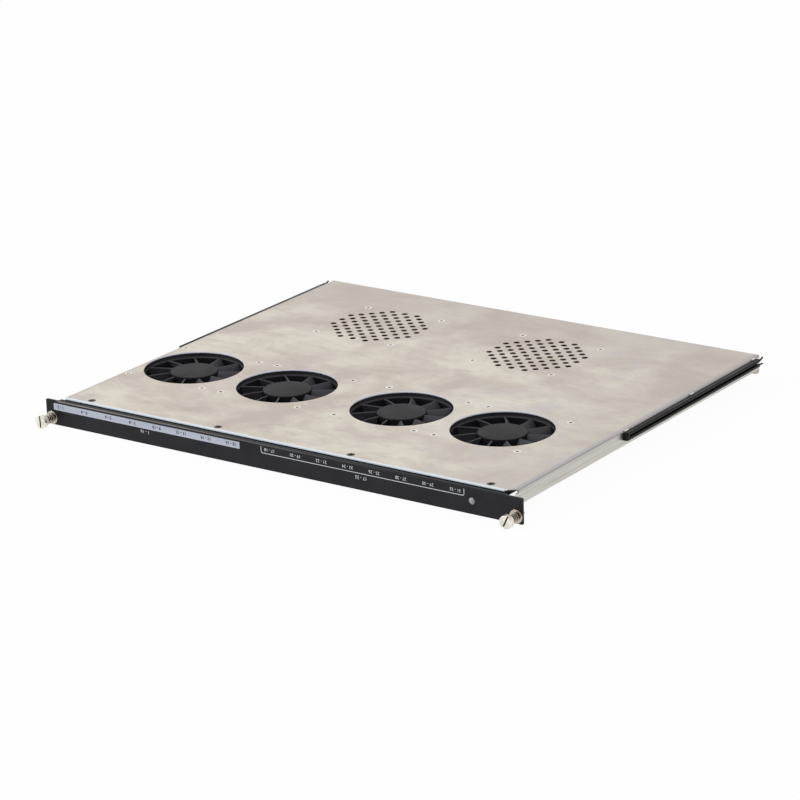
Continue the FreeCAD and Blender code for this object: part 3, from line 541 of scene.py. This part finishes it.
finishes = {
    "tray_steel": sheetSteelFinish(),
    "panel_black": blackPaintFinish(),
    "black_screw": recessedScrewFinish("black_screw", (30, 30, 31), (48, 47, 48), (0.3, 0.42), (8, 8, 8)),
    "fan_screw_zinc": recessedScrewFinish("fan_screw", (214, 208, 198), (236, 232, 224), (0.16, 0.26), (46, 42, 38)),
    "lamp_lens": plainFinish("lamp_lens", lens, lens["tones"], lens["roughness"], lens["milky"]),
    "lamp_holder": mouldedFinish("lamp_holder", (30, 30, 31), (40, 40, 42), (0.45, 0.55)),
    "board_green": boardFinish(),
    "standoff_brass": platedFinish("standoff", (176, 168, 150), (206, 198, 180), (0.25, 0.35)),
    "board_screw_steel": platedFinish("board_screw", (190, 186, 178), (220, 216, 208), (0.2, 0.3)),
    "header_white": mouldedFinish("header_nylon", (214, 208, 192), (228, 223, 208), (0.4, 0.5)),
    "connector_black": mouldedFinish("connector_body", (26, 26, 27), (36, 36, 38), (0.42, 0.52)),
    "contact_gold": platedFinish("contact_gold", (206, 160, 84), (228, 188, 110), (0.18, 0.26)),
    "fan_frame_black": frameFinish(),
    "impeller_black": impellerFinish(),
    "magnet_dark": platedFinish("magnet", (70, 68, 68), (92, 90, 90), (0.5, 0.6)),
    "shaft_steel": platedFinish("shaft", (196, 196, 198), (220, 220, 222), (0.15, 0.22)),
    "stator_copper": platedFinish("stator", (150, 84, 48), (190, 112, 66), (0.3, 0.42)),
    "bearing_bronze": platedFinish("bearing", (150, 120, 76), (176, 144, 92), (0.35, 0.45)),
    "captive_nickel": boltFinish("captive_nickel", (216, 210, 198), (244, 240, 231), (0.1, 0.18)),
    "spring_steel": platedFinish("spring_wire", (150, 142, 132), (190, 182, 170), (0.2, 0.3)),
    "rail_black": mouldedFinish("rail_nylon", (17, 15, 16), (24, 22, 23), (0.38, 0.5), 0.14),
}
slotOf = {part["node"]: part["material_slot"] for part in frame["record"]["subparts"]}
for nodeName, nodeObject in nodes.items():
    nodeObject.data.materials.clear()
    nodeObject.data.materials.append(finishes[slotOf[nodeName]])
print("finishes on", len(nodes), "nodes")


# Moulded pieces with their sharp edges broken

edgeBreak = {"widths": {"side_rail_left": 0.25 * mm, "side_rail_right": 0.25 * mm, "rear_connector": 0.2 * mm},
             "merge": 0.002 * mm, "flatAngle": 0.5, "sharpAngle": 40.0, "segments": 2}


def breakEdges(nodeName, width):
    # a merged copy of the solid, flat faces joined up, with a narrow round along each sharp edge
    mesh = nodes[nodeName].data.copy()
    weld(mesh, edgeBreak["merge"])
    work = bmesh.new()
    work.from_mesh(mesh)
    bmesh.ops.dissolve_limit(work, angle_limit=math.radians(edgeBreak["flatAngle"]), verts=work.verts,
                             edges=work.edges)
    work.to_mesh(mesh)
    work.free()
    shadeSmooth(mesh)
    piece = addPiece(f"{nodeName}_finished", mesh, "root", slotOf[nodeName])
    rounding = piece.modifiers.new("edge_break", "BEVEL")
    rounding.width = width
    rounding.segments = edgeBreak["segments"]
    rounding.limit_method = "ANGLE"
    rounding.angle_limit = math.radians(edgeBreak["sharpAngle"])
    rounding.use_clamp_overlap = False
    rounding.harden_normals = True
    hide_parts(nodeName)


for nodeName, breakWidth in edgeBreak["widths"].items():
    breakEdges(nodeName, breakWidth)
print("edges broken on", len(edgeBreak["widths"]), "pieces")


# Fan rotors: hub turned from a rounded profile, blades as thin closed sections swept outwards

rotor = {"blades": 11, "hubRadius": 18.5 * mm, "hubWall": 1.2 * mm, "hubTop": 1.4 * mm, "hubSteps": 96,
         "bossRadius": 3.2 * mm, "bossDepth": 2.6 * mm, "shaftRadius": 1.52 * mm, "shaftDepth": 0.7 * mm,
         "roundsInMm": (0, 0.7, 0.2, 0.2, 0.4, 0.3, 0.2, 0.1, 0.05, 0),
         "tipRadius": 37.2 * mm, "thickness": 1.1 * mm, "rootThicker": 0.8 * mm, "rootFade": 0.06,
         "camber": 0.8 * mm, "leadDrops": (0.4 * mm, 0.9 * mm), "trailRises": (0.7 * mm, 1.25 * mm),
         "leadAngles": (11.0, 17.8), "trailAngles": (-4.0, 10.6), "sweptTip": 19.0,
         "tipAt": (-1.2, 0.4, 16.3, 24.2, 8.0, 21.0), "spanSteps": 16, "sideSteps": 12, "edgeSteps": 6}


def along(ends, share):
    return ends[0] + share * (ends[1] - ends[0])


def bladeGrid(hubFace, hubBase, turn):
    # at each radius a cambered strip runs from lead to trail angle while it drops; round edges close the strip,
    # and the first and last sections shrink to their middle line
    span = np.linspace(0, 1, rotor["spanSteps"])
    span = np.concatenate([span[:1], span, span[-1:]])[:, None]
    shut = np.concatenate([[0], np.ones(rotor["spanSteps"]), [0]])[:, None]
    radius = along((rotor["hubRadius"] - rotor["hubWall"] / 2, rotor["tipRadius"]), span)
    lead = np.radians(along(rotor["leadAngles"], span))
    trail = np.radians(along(rotor["trailAngles"], span))
    leadZ = hubFace - along(rotor["leadDrops"], span)
    trailZ = hubBase + along(rotor["trailRises"], span)
    sideways, drop = radius * (trail - lead), trailZ - leadZ
    chord = np.hypot(sideways, drop)
    belowSide, belowZ = -drop / chord, sideways / chord
    thick = rotor["thickness"] + rotor["rootThicker"] * np.exp(-span / rotor["rootFade"])
    side = np.linspace(0, 1, rotor["sideSteps"])
    edge = np.linspace(-math.pi / 2, math.pi / 2, rotor["edgeSteps"])[1:-1]
    run = np.concatenate([side, np.ones(len(edge)), side[::-1], np.zeros(len(edge))])
    reach = np.concatenate([0 * side, np.cos(edge), 0 * side, -np.cos(edge)])
    across = np.concatenate([0 * side, (1 + np.sin(edge)) / 2, 0 * side + 1, (1 - np.sin(edge)) / 2])
    share = (thick / 2 + run * (chord - thick) + reach * thick / 2) / chord
    depth = thick * (0.5 + (across - 0.5) * shut) - 4 * share * (1 - share) * rotor["camber"]
    angle = lead + (share * sideways + belowSide * depth) / radius + turn
    height = leadZ + share * drop + belowZ * depth
    flat = np.broadcast_to(radius, angle.shape)
    return np.stack([flat * np.cos(angle), flat * np.sin(angle), height], axis=-1)


def makeRotor(number):
    low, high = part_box(f"impeller_{number}")
    centre = np.array(fanMiddles[number - 1])
    hubFace, hubBase = high.z, low.z
    outer, inner = rotor["hubRadius"], rotor["hubRadius"] - rotor["hubWall"]
    boss, shaft = rotor["bossRadius"], rotor["shaftRadius"]
    under = hubFace - rotor["hubTop"]
    bossEnd, shaftTop = under - rotor["bossDepth"], hubFace - rotor["shaftDepth"]
    corners = ((0, hubFace), (outer, hubFace), (outer, hubBase), (inner, hubBase), (inner, under), (boss, under),
               (boss, bossEnd), (shaft, bossEnd), (shaft, shaftTop), (0, shaftTop))
    profile = roundedOutline([(*corner, radius * mm) for corner, radius in zip(corners, rotor["roundsInMm"])])
    grids = [(turnedGrid(profile, centre, "z", rotor["hubSteps"]), True, False)]
    first = math.radians(rotor["tipAt"][number - 1] - rotor["sweptTip"])
    for blade in range(rotor["blades"]):
        grid = bladeGrid(hubFace, hubBase, first + blade * 2 * math.pi / rotor["blades"])
        grids.append((grid + centre, False, True))
    piece = surfacePiece(f"rotor_{number}", grids, f"fan_rotor_{number}", "impeller_black")
    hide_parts(f"impeller_{number}")


for fanNumber in fanNumbers:
    makeRotor(fanNumber)
print("rotors made")


# Captive screws with their springs and retainers, on an axis along Y

captive = {"headRadius": 5.0 * mm, "headLength": 4.5 * mm, "headEdge": 0.45 * mm, "faceLength": 2.0 * mm,
           "slotWidth": 1.2 * mm, "slotDepth": 1.6 * mm, "slotTurn": {"left": 4.0, "right": -26.0},
           "columns": 28, "rows": 41, "knurls": 36, "knurlPitch": 0.87 * mm, "knurlDepth": 0.22 * mm,
           "knurlSteps": 6, "drumRows": 26, "neckRadius": 1.7 * mm, "neckSteps": 40, "threadRadius": 2.0 * mm,
           "threadLength": 6.0 * mm, "threadPitch": 0.7 * mm, "threadDepth": 0.36 * mm, "threadRows": 120,
           "threadSteps": 48, "overlap": 0.1 * mm, "sharpAngle": 32}


def headGrid(centre, front, turn):
    # a disc in columns across its slot; each column runs up the front face and down the rear face
    radius, edge, half = captive["headRadius"], captive["headEdge"], captive["slotWidth"] / 2
    left = -radius * np.cos(np.linspace(0, math.acos(half / radius), captive["columns"]))
    across = np.concatenate([left, [-half, half], -left[::-1]])
    slotted = np.concatenate([0 * left, [1, 1], 0 * left])
    reach = np.sqrt(np.maximum(radius ** 2 - across ** 2, 0))
    up = np.sin(np.linspace(-math.pi / 2, math.pi / 2, captive["rows"]))[:, None] * reach
    rimHighlight = np.clip(np.hypot(up, across) - (radius - edge), 0, edge)
    fall = edge - np.sqrt(edge ** 2 - rimHighlight ** 2)
    frontY = front + np.maximum(fall, captive["slotDepth"] * slotted)
    backY = np.full(up.shape, front + captive["faceLength"])
    wide = np.broadcast_to(across, up.shape)
    x, z = np.concatenate([wide, wide[::-1]]), np.concatenate([up, up[::-1]])
    y = np.concatenate([frontY, backY[::-1]])
    cosine, sine = math.cos(math.radians(turn)), math.sin(math.radians(turn))
    return np.stack([centre.x + x * cosine - z * sine, y, centre.z + x * sine + z * cosine], axis=-1)


def cappedBody(centre, radius, y, turn):
    # rings of the given radii along the axis, closed with a point on the axis at each end
    body = np.stack([centre.x + radius * np.cos(turn), np.broadcast_to(y, radius.shape),
                     centre.z + radius * np.sin(turn)], axis=-1)
    caps = [np.broadcast_to(np.array([[[centre.x, level, centre.z]]]), (1, body.shape[1], 3))
            for level in (y[0, 0], y[-1, 0])]
    return np.concatenate([caps[0], body, caps[1]])


def drumGrid(centre, start, end):
    # the radius dips along two crossing families of helical grooves, and shrinks to a rounded edge at the rear end
    y = np.linspace(start, end, captive["drumRows"])[:, None]
    turn = roundTurn(captive["knurls"] * captive["knurlSteps"])[None]
    lead = captive["knurls"] * turn / (2 * math.pi)
    rise = (y - start) / captive["knurlPitch"]
    height = np.minimum(*(np.abs(((lead + way * rise) % 1) * 2 - 1) for way in (-1, 1)))
    edge = captive["headEdge"]
    rimHighlight = np.clip(edge - np.minimum(end - y, edge), 0, edge)
    fall = edge - np.sqrt(edge ** 2 - rimHighlight ** 2)
    return cappedBody(centre, captive["headRadius"] - captive["knurlDepth"] * (1 - height) - fall, y, turn)


def threadGrid(centre, start, end):
    # the radius follows a triangle wave along a helix and tapers at both ends
    y = np.linspace(start, end, captive["threadRows"])[:, None]
    turn = roundTurn(captive["threadSteps"])[None]
    wave = np.abs((((y - start) / captive["threadPitch"] - turn / (2 * math.pi)) % 1) * 2 - 1)
    ends = np.clip(np.minimum(y - start, end - y) / captive["threadPitch"], 0, 1)
    return cappedBody(centre, captive["threadRadius"] - captive["threadDepth"] * (1 - wave * ends), y, turn)


def makeBolt(side, centre):
    low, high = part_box(f"captive_screw_{side}")
    overlap, neckRadius = captive["overlap"], captive["neckRadius"]
    drumStart, drumEnd = low.y + captive["faceLength"] - overlap, low.y + captive["headLength"]
    threadStart = high.y - captive["threadLength"]
    neckStart, neckEnd = drumEnd - overlap, threadStart + overlap
    neck = np.array([(0, neckStart), (neckRadius, neckStart), (neckRadius, neckEnd), (0, neckEnd)])
    grids = [(headGrid(centre, low.y, captive["slotTurn"][side]), True, False),
             (drumGrid(centre, drumStart, drumEnd), False, True),
             (turnedGrid(neck, (centre.x, 0, centre.z), "y", captive["neckSteps"]), True, False),
             (threadGrid(centre, threadStart, high.y), False, True)]
    piece = surfacePiece(f"captive_bolt_{side}", grids, f"{side}_screw", "captive_nickel", captive["sharpAngle"])
    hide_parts(f"captive_screw_{side}")


bush = {"flange": 1.3 * mm, "rimRadius": 2.5 * mm, "rimHeight": 0.25 * mm, "bore": 1.73 * mm,
        "barrelRadius": 3.0 * mm, "flareRadius": 3.4 * mm, "flare": 0.8 * mm, "turnSteps": 72, "roundSteps": 4,
        "roundsInMm": (0.05, 0.1, 0.1, 0.35, 0.1, 0.05, 0.05, 0.2, 0.3, 0.1)}


def makeBush(side, centre):
    # flanged profile turned about the screw's axis, with a raised rim round the bore
    low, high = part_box(f"captive_retainer_{side}")
    front, rear, panelY = low.y, high.y, low.y + bush["flange"]
    outer, step, flareY = (high.x - low.x) / 2, front + bush["rimHeight"], rear - bush["flare"]
    bore, rimHighlight, barrel, flare = bush["bore"], bush["rimRadius"], bush["barrelRadius"], bush["flareRadius"]
    corners = ((bore, front), (rimHighlight, front), (rimHighlight, step), (outer, step), (outer, panelY), (barrel, panelY),
               (barrel, flareY), (flare, flareY), (flare, rear), (bore, rear))
    profile = roundedOutline([(*corner, radius * mm) for corner, radius in zip(corners, bush["roundsInMm"])],
                             bush["roundSteps"])
    grid = turnedGrid(profile, (centre.x, 0, centre.z), "y", bush["turnSteps"])
    piece = surfacePiece(f"captive_bush_{side}", [(grid, True, True)], "root", "captive_nickel",
                         captive["sharpAngle"])
    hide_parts(f"captive_retainer_{side}")


coil = {"radius": 3.1 * mm, "wire": 0.4 * mm, "turns": 5.0, "closedTurns": 0.4, "pushed": 0.53, "rows": 260,
        "wireSteps": 14, "sharpAngle": 60}


def withEnds(sections):
    # closes a row of sections with the middle of the first and of the last one
    ends = [np.broadcast_to(section.mean(axis=0), (1, *section.shape)) for section in (sections[0], sections[-1])]
    return np.concatenate([ends[0], sections, ends[1]])


def coilGrid(centre, start, end):
    # wire circle carried along a helix whose pitch closes up over the first and last part of a turn
    travel = np.linspace(0, coil["turns"], coil["rows"])[:, None]
    rise = np.clip((travel - coil["closedTurns"]) / (coil["turns"] - 2 * coil["closedTurns"]), 0, 1)
    y = start + coil["wire"] + (end - start - 2 * coil["wire"]) * rise
    turn = travel * 2 * math.pi
    around = roundTurn(coil["wireSteps"])[None]
    out = coil["radius"] + coil["wire"] * np.cos(around)
    body = np.stack([centre.x + out * np.cos(turn), y + coil["wire"] * np.sin(around),
                     centre.z + out * np.sin(turn)], axis=-1)
    return withEnds(body)


def makeCoil(side, centre):
    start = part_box(f"captive_screw_{side}")[0].y + captive["headLength"]
    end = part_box(f"captive_retainer_{side}")[0].y
    piece = surfacePiece(f"captive_coil_{side}", [(coilGrid(centre, start, end), False, True)], "root", "spring_steel",
                         coil["sharpAngle"])
    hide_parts(f"captive_spring_{side}")
    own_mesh(piece)


for sideName in ("left", "right"):
    axisPoint = Vector(joints[f"{sideName}_screw_turn"]["pos_m"])
    makeBolt(sideName, axisPoint)
    makeBush(sideName, axisPoint)
    makeCoil(sideName, axisPoint)
print("captive screws made")


# Print on the panel, upside down as the module lies: a pale strip and a bracket line, each with plain numbers

marks = {"left": plateLeft, "top": trayHigh.z, "face": panelLow.y,
         "stripSides": (-6.4 * mm, 169.0 * mm), "stripDrops": (3.9 * mm, 9.1 * mm), "stripCorner": 0.5 * mm,
         "stripThickness": 0.1 * mm, "bracketSides": (188.5 * mm, 364.2 * mm),
         "bracketDrops": (3.3 * mm, 8.4 * mm), "bracketCorner": 1.4 * mm, "bracketSteps": 8,
         "lineWidth": 0.44 * mm, "inkThickness": 0.03 * mm, "step": 22.98 * mm, "groups": 8,
         "stripFirst": 0.4 * mm, "stripNumberDrop": 6.25 * mm, "bracketFirst": 196.1 * mm,
         "bracketNumberDrop": 5.4 * mm, "numberSize": 3.3 * mm, "rangeSize": 3.6 * mm, "rangeDrop": 11.5 * mm,
         "stripRangeAt": 81.0 * mm, "bracketRangeAt": 276.6 * mm, "stripBoldness": 0.03, "bracketBoldness": 0.0,
         "curveSteps": 3, "merge": 1e-8}

# pale lilac-grey foil with long brushed streaks, and screen-printed ink with a slightly uneven cover
foilStreaks = {"scale": 320.0, "stretch": (0.04, 1, 1)}
foil = {"baseNoise": foilStreaks, "stops": (0.3, 0.7), "bumpNoise": foilStreaks, "bump": (0.1, 0.01 * mm),
        "tones": ((176, 182, 196), (194, 200, 212)), "roughness": (0.38, 0.52)}
ink = {"baseNoise": {"scale": 2500.0, "detail": 2.0}, "stops": (0.3, 0.6), "roughness": (0.45, 0.6),
       "white": ((206, 208, 214), (232, 234, 238)), "dark": ((24, 26, 34), (38, 40, 50))}
finishes["label_foil"] = plainFinish("label_foil", foil, foil["tones"], foil["roughness"], {})
finishes["white_ink"] = plainFinish("white_ink", ink, ink["white"], ink["roughness"], {})
finishes["dark_ink"] = plainFinish("dark_ink", ink, ink["dark"], ink["roughness"], {})


def onPanel(across, drop, lift):
    # from places measured along the plate's front edge and down from its top to points in front of the panel
    across, drop, lift = np.broadcast_arrays(across, drop, lift)
    return np.stack([marks["left"] + across, marks["face"] - lift, marks["top"] - drop], axis=-1)


def makeStrip():
    # rounded outline carried from the panel's face to the foil's face and shrunk to its middle line
    (left, right), (top, low) = marks["stripSides"], marks["stripDrops"]
    corner, thick = marks["stripCorner"], marks["stripThickness"]
    loop = roundedOutline([(left, top, corner), (right, top, corner), (right, low, corner), (left, low, corner)])
    middle = np.full(len(loop), (top + low) / 2)
    drops = np.stack([middle, loop[:, 1], loop[:, 1], middle])
    grid = onPanel(loop[:, 0][None], drops, np.array([[0], [0], [thick], [thick]]))
    surfacePiece("label_strip", [(grid, False, True)], "root", "panel_black", finish="label_foil")


def makeBracket():
    # flat bar section carried along an open path with two rounded corners
    (left, right), (top, low) = marks["bracketSides"], marks["bracketDrops"]
    corner, thick = marks["bracketCorner"], marks["inkThickness"]
    path = roundedOutline([(left, top, 0), (left, low, corner), (right, low, corner), (right, top, 0)],
                          marks["bracketSteps"])
    path = path[np.concatenate([[True], np.linalg.norm(np.diff(path, axis=0), axis=1) > tiny])]
    run = np.gradient(path, axis=0)
    run /= np.linalg.norm(run, axis=1, keepdims=True)
    out = np.stack([-run[:, 1], run[:, 0]], axis=-1) * marks["lineWidth"] / 2
    inner, outer = path - out, path + out
    lines = [onPanel(side[:, 0], side[:, 1], lift)
             for side, lift in ((inner, 0), (outer, 0), (outer, thick), (inner, thick))]
    surfacePiece("bracket_line", [(withEnds(np.stack(lines, axis=1)), False, True)], "root", "panel_black",
                 finish="white_ink")


def wordPoints(text, size, thickness, boldness):
    # outline of a word as a thin closed mesh about its own middle
    curve = bpy.data.curves.new("word", "FONT")
    curve.body, curve.size = text, size
    curve.align_x, curve.align_y = "CENTER", "CENTER"
    curve.extrude, curve.offset = thickness / 2, boldness * size
    curve.resolution_u = marks["curveSteps"]
    holder = bpy.data.objects.new("word", curve)
    mesh = bpy.data.meshes.new_from_object(holder)
    points = np.empty(3 * len(mesh.vertices))
    mesh.vertices.foreach_get("co", points)
    faces = [list(polygon.vertices) for polygon in mesh.polygons]
    bpy.data.objects.remove(holder)
    bpy.data.curves.remove(curve)
    bpy.data.meshes.remove(mesh)
    return points.reshape(-1, 3), faces


def makeWords(name, words, finish, base, boldness):
    # each word is turned half round on the panel's face and set at its place
    thick = marks["inkThickness"]
    allPoints, allFaces, first = [], [], 0
    for text, size, across, drop in words:
        points, faces = wordPoints(text, size, thick, boldness)
        allPoints.append(onPanel(across - points[:, 0], drop + points[:, 1], base + thick / 2 + points[:, 2]))
        allFaces += [[first + corner for corner in face] for face in faces]
        first += len(points)
    mesh = bpy.data.meshes.new(name)
    mesh.from_pydata(np.concatenate(allPoints).tolist(), [], allFaces)
    weld(mesh, marks["merge"])
    addPiece(name, mesh, "root", "panel_black", finish)


def numberRow(first, start, drop):
    # pairs of plain numbers at equal steps along the panel
    step, size = marks["step"], marks["numberSize"]
    return [(f"{first + 2 * group} - {first + 2 * group + 1}", size, start + group * step, drop)
            for group in range(marks["groups"])]


makeStrip()
makeBracket()
makeWords("strip_numbers", numberRow(1, marks["stripFirst"], marks["stripNumberDrop"]),
          "dark_ink", marks["stripThickness"], marks["stripBoldness"])
stripLast = 2 * marks["groups"]
rangeSize, rangeDrop = marks["rangeSize"], marks["rangeDrop"]
ranges = [(f"1 - {stripLast}", rangeSize, marks["stripRangeAt"], rangeDrop),
          (f"{stripLast + 1} - {2 * stripLast}", rangeSize, marks["bracketRangeAt"], rangeDrop)]
makeWords("bracket_numbers",
          numberRow(stripLast + 1, marks["bracketFirst"], marks["bracketNumberDrop"]) + ranges,
          "white_ink", 0, marks["bracketBoldness"])
print("panel print made")


# Floor, light and camera. A lamp is a name, place, size, power and colour; a flag is a direction, the cosines at
# which it starts and is full, and the light left there

studio = {"floorSize": 30.0, "floorLines": 3, "floorGlow": 0.96, "floorColour": (0.92, 0.92, 0.92, 1),
          "shadowFade": (0.03, 0.06), "fanShadow": (0.0405, 0.005), "worldColour": (1, 1, 1, 1),
          "worldForDiffuse": 0.72, "flags": (((0.36, 0.75, 0.56), (0.80, 0.97), 0.7),
                                             ((0.5455, -0.7731, 0.3236), (0.76, 0.93), 0.06)),
          "lamps": (("key_softbox", (-1.52, -1.35, 1.15), 0.6, 11.0, (0.94, 0.97, 1.0)),
                    ("fill_softbox", (1.6, -1.4, 1.2), 1.2, 4.0, (1.0, 0.98, 0.95)))}


def backgroundShare(tree):
    # one for rays that see the studio itself: camera, mirror-like and see-through rays; and the mirror-like share
    seen = tree.nodes.new("ShaderNodeLightPath").outputs
    share = maths(tree, "MAXIMUM", seen["Is Camera Ray"], seen["Is Glossy Ray"], seen["Is Transmission Ray"])
    return share, seen["Is Glossy Ray"]


def clearOfObject(tree):
    # one beside the object, falling to nothing on the floor well beneath it and beneath each fan
    place = tree.nodes.new("ShaderNodeTexCoord").outputs["Object"]
    x, y = axes(tree, place)[:2]
    inside = maths(tree, "MINIMUM", maths(tree, "SUBTRACT", plateRight, maths(tree, "ABSOLUTE", x)),
                   maths(tree, "SUBTRACT", trayHigh.y, maths(tree, "ABSOLUTE", y)))
    beneathFans = nearFans(tree, place, *studio["fanShadow"])
    return maths(tree, "MINIMUM", spread(tree, inside, 1.0, 0.0, *studio["shadowFade"]),
                 maths(tree, "SUBTRACT", 1.0, beneathFans))


def mixShaders(tree, share, first, second):
    node = tree.nodes.new("ShaderNodeMixShader")
    for socket, value in zip(node.inputs, (share, first, second)):
        tree.links.new(value, socket)
    return node.outputs[0]


def makeFloor():
    # white, and clear to a view from below
    half, lines = studio["floorSize"] / 2, studio["floorLines"]
    line = np.linspace(-half, half, lines)
    x, y = np.meshgrid(line, line, indexing="ij")
    mesh = bpy.data.meshes.new("floor")
    mesh.from_pydata(np.stack([x, y, 0 * x], axis=-1).reshape(-1, 3).tolist(), [],
                     gridFaces(lines, lines, False, False, 0)[:, ::-1].tolist())
    material, tree = newMaterial("floor_white")[:2]
    tree.nodes.clear()
    diffuse = tree.nodes.new("ShaderNodeBsdfDiffuse")
    diffuse.inputs["Color"].default_value = studio["floorColour"]
    glow = tree.nodes.new("ShaderNodeEmission").outputs[0]
    clear = tree.nodes.new("ShaderNodeBsdfTransparent").outputs[0]
    share = maths(tree, "MULTIPLY", backgroundShare(tree)[0], clearOfObject(tree), studio["floorGlow"])
    fromBelow = tree.nodes.new("ShaderNodeNewGeometry").outputs["Backfacing"]
    surface = mixShaders(tree, fromBelow, mixShaders(tree, share, diffuse.outputs[0], glow), clear)
    tree.links.new(surface, tree.nodes.new("ShaderNodeOutputMaterial").inputs["Surface"])
    mesh.materials.append(material)
    floor = newObject("floor", mesh)


def makeWorld():
    # white studio; dark flags stand behind on the right and round the camera, and only mirror-like rays see them
    world = bpy.data.worlds.new("studio")
    bpy.context.scene.world = world
    world.use_nodes = True
    tree = world.node_tree
    share, glossy = backgroundShare(tree)
    strength = spread(tree, share, studio["worldForDiffuse"], 1.0, 0.0, 1.0)
    sight = tree.nodes.new("ShaderNodeTexCoord").outputs["Generated"]
    for flagWay, cosines, lightLeft in studio["flags"]:
        cosine = vectorMaths(tree, "DOT_PRODUCT", sight, Vector(flagWay).normalized())
        flag = spread(tree, cosine, 0.0, 1.0 - lightLeft, *cosines)
        seen = maths(tree, "SUBTRACT", 1.0, maths(tree, "MULTIPLY", flag, glossy))
        strength = maths(tree, "MULTIPLY", strength, seen)
    dress(tree, tree.nodes["Background"], {"Color": studio["worldColour"], "Strength": strength})


def makeLamp(name, place, size, power, colour):
    lamp = bpy.data.lights.new(name, "AREA")
    lamp.shape = "DISK"
    lamp.size = size
    lamp.energy = power
    lamp.color = colour
    holder = newObject(name, lamp)
    holder.location = place
    holder.rotation_euler = (-Vector(place)).to_track_quat("-Z", "Y").to_euler()


photoView = {"place": (1.40065, -1.9953, 0.8376), "forward": (-0.5455, 0.7731, -0.3236), "roll": -1.77,
             "lens": 152.7, "sensor": 36.0, "reach": 50.0}


def makeCamera():
    optics = bpy.data.cameras.new("photo_camera")
    optics.lens = photoView["lens"]
    optics.sensor_width = photoView["sensor"]
    optics.clip_end = photoView["reach"]
    camera = newObject("photo_camera", optics)
    aim = Vector(photoView["forward"]).to_track_quat("-Z", "Y").to_matrix().to_4x4()
    roll = Matrix.Rotation(math.radians(photoView["roll"]), 4, "Z")
    camera.matrix_world = Matrix.Translation(photoView["place"]) @ aim @ roll
    bpy.context.scene.camera = camera


makeFloor()
makeWorld()
for lampSettings in studio["lamps"]:
    makeLamp(*lampSettings)
makeCamera()
bpy.context.scene.view_settings.view_transform = "Standard"
print("studio made")
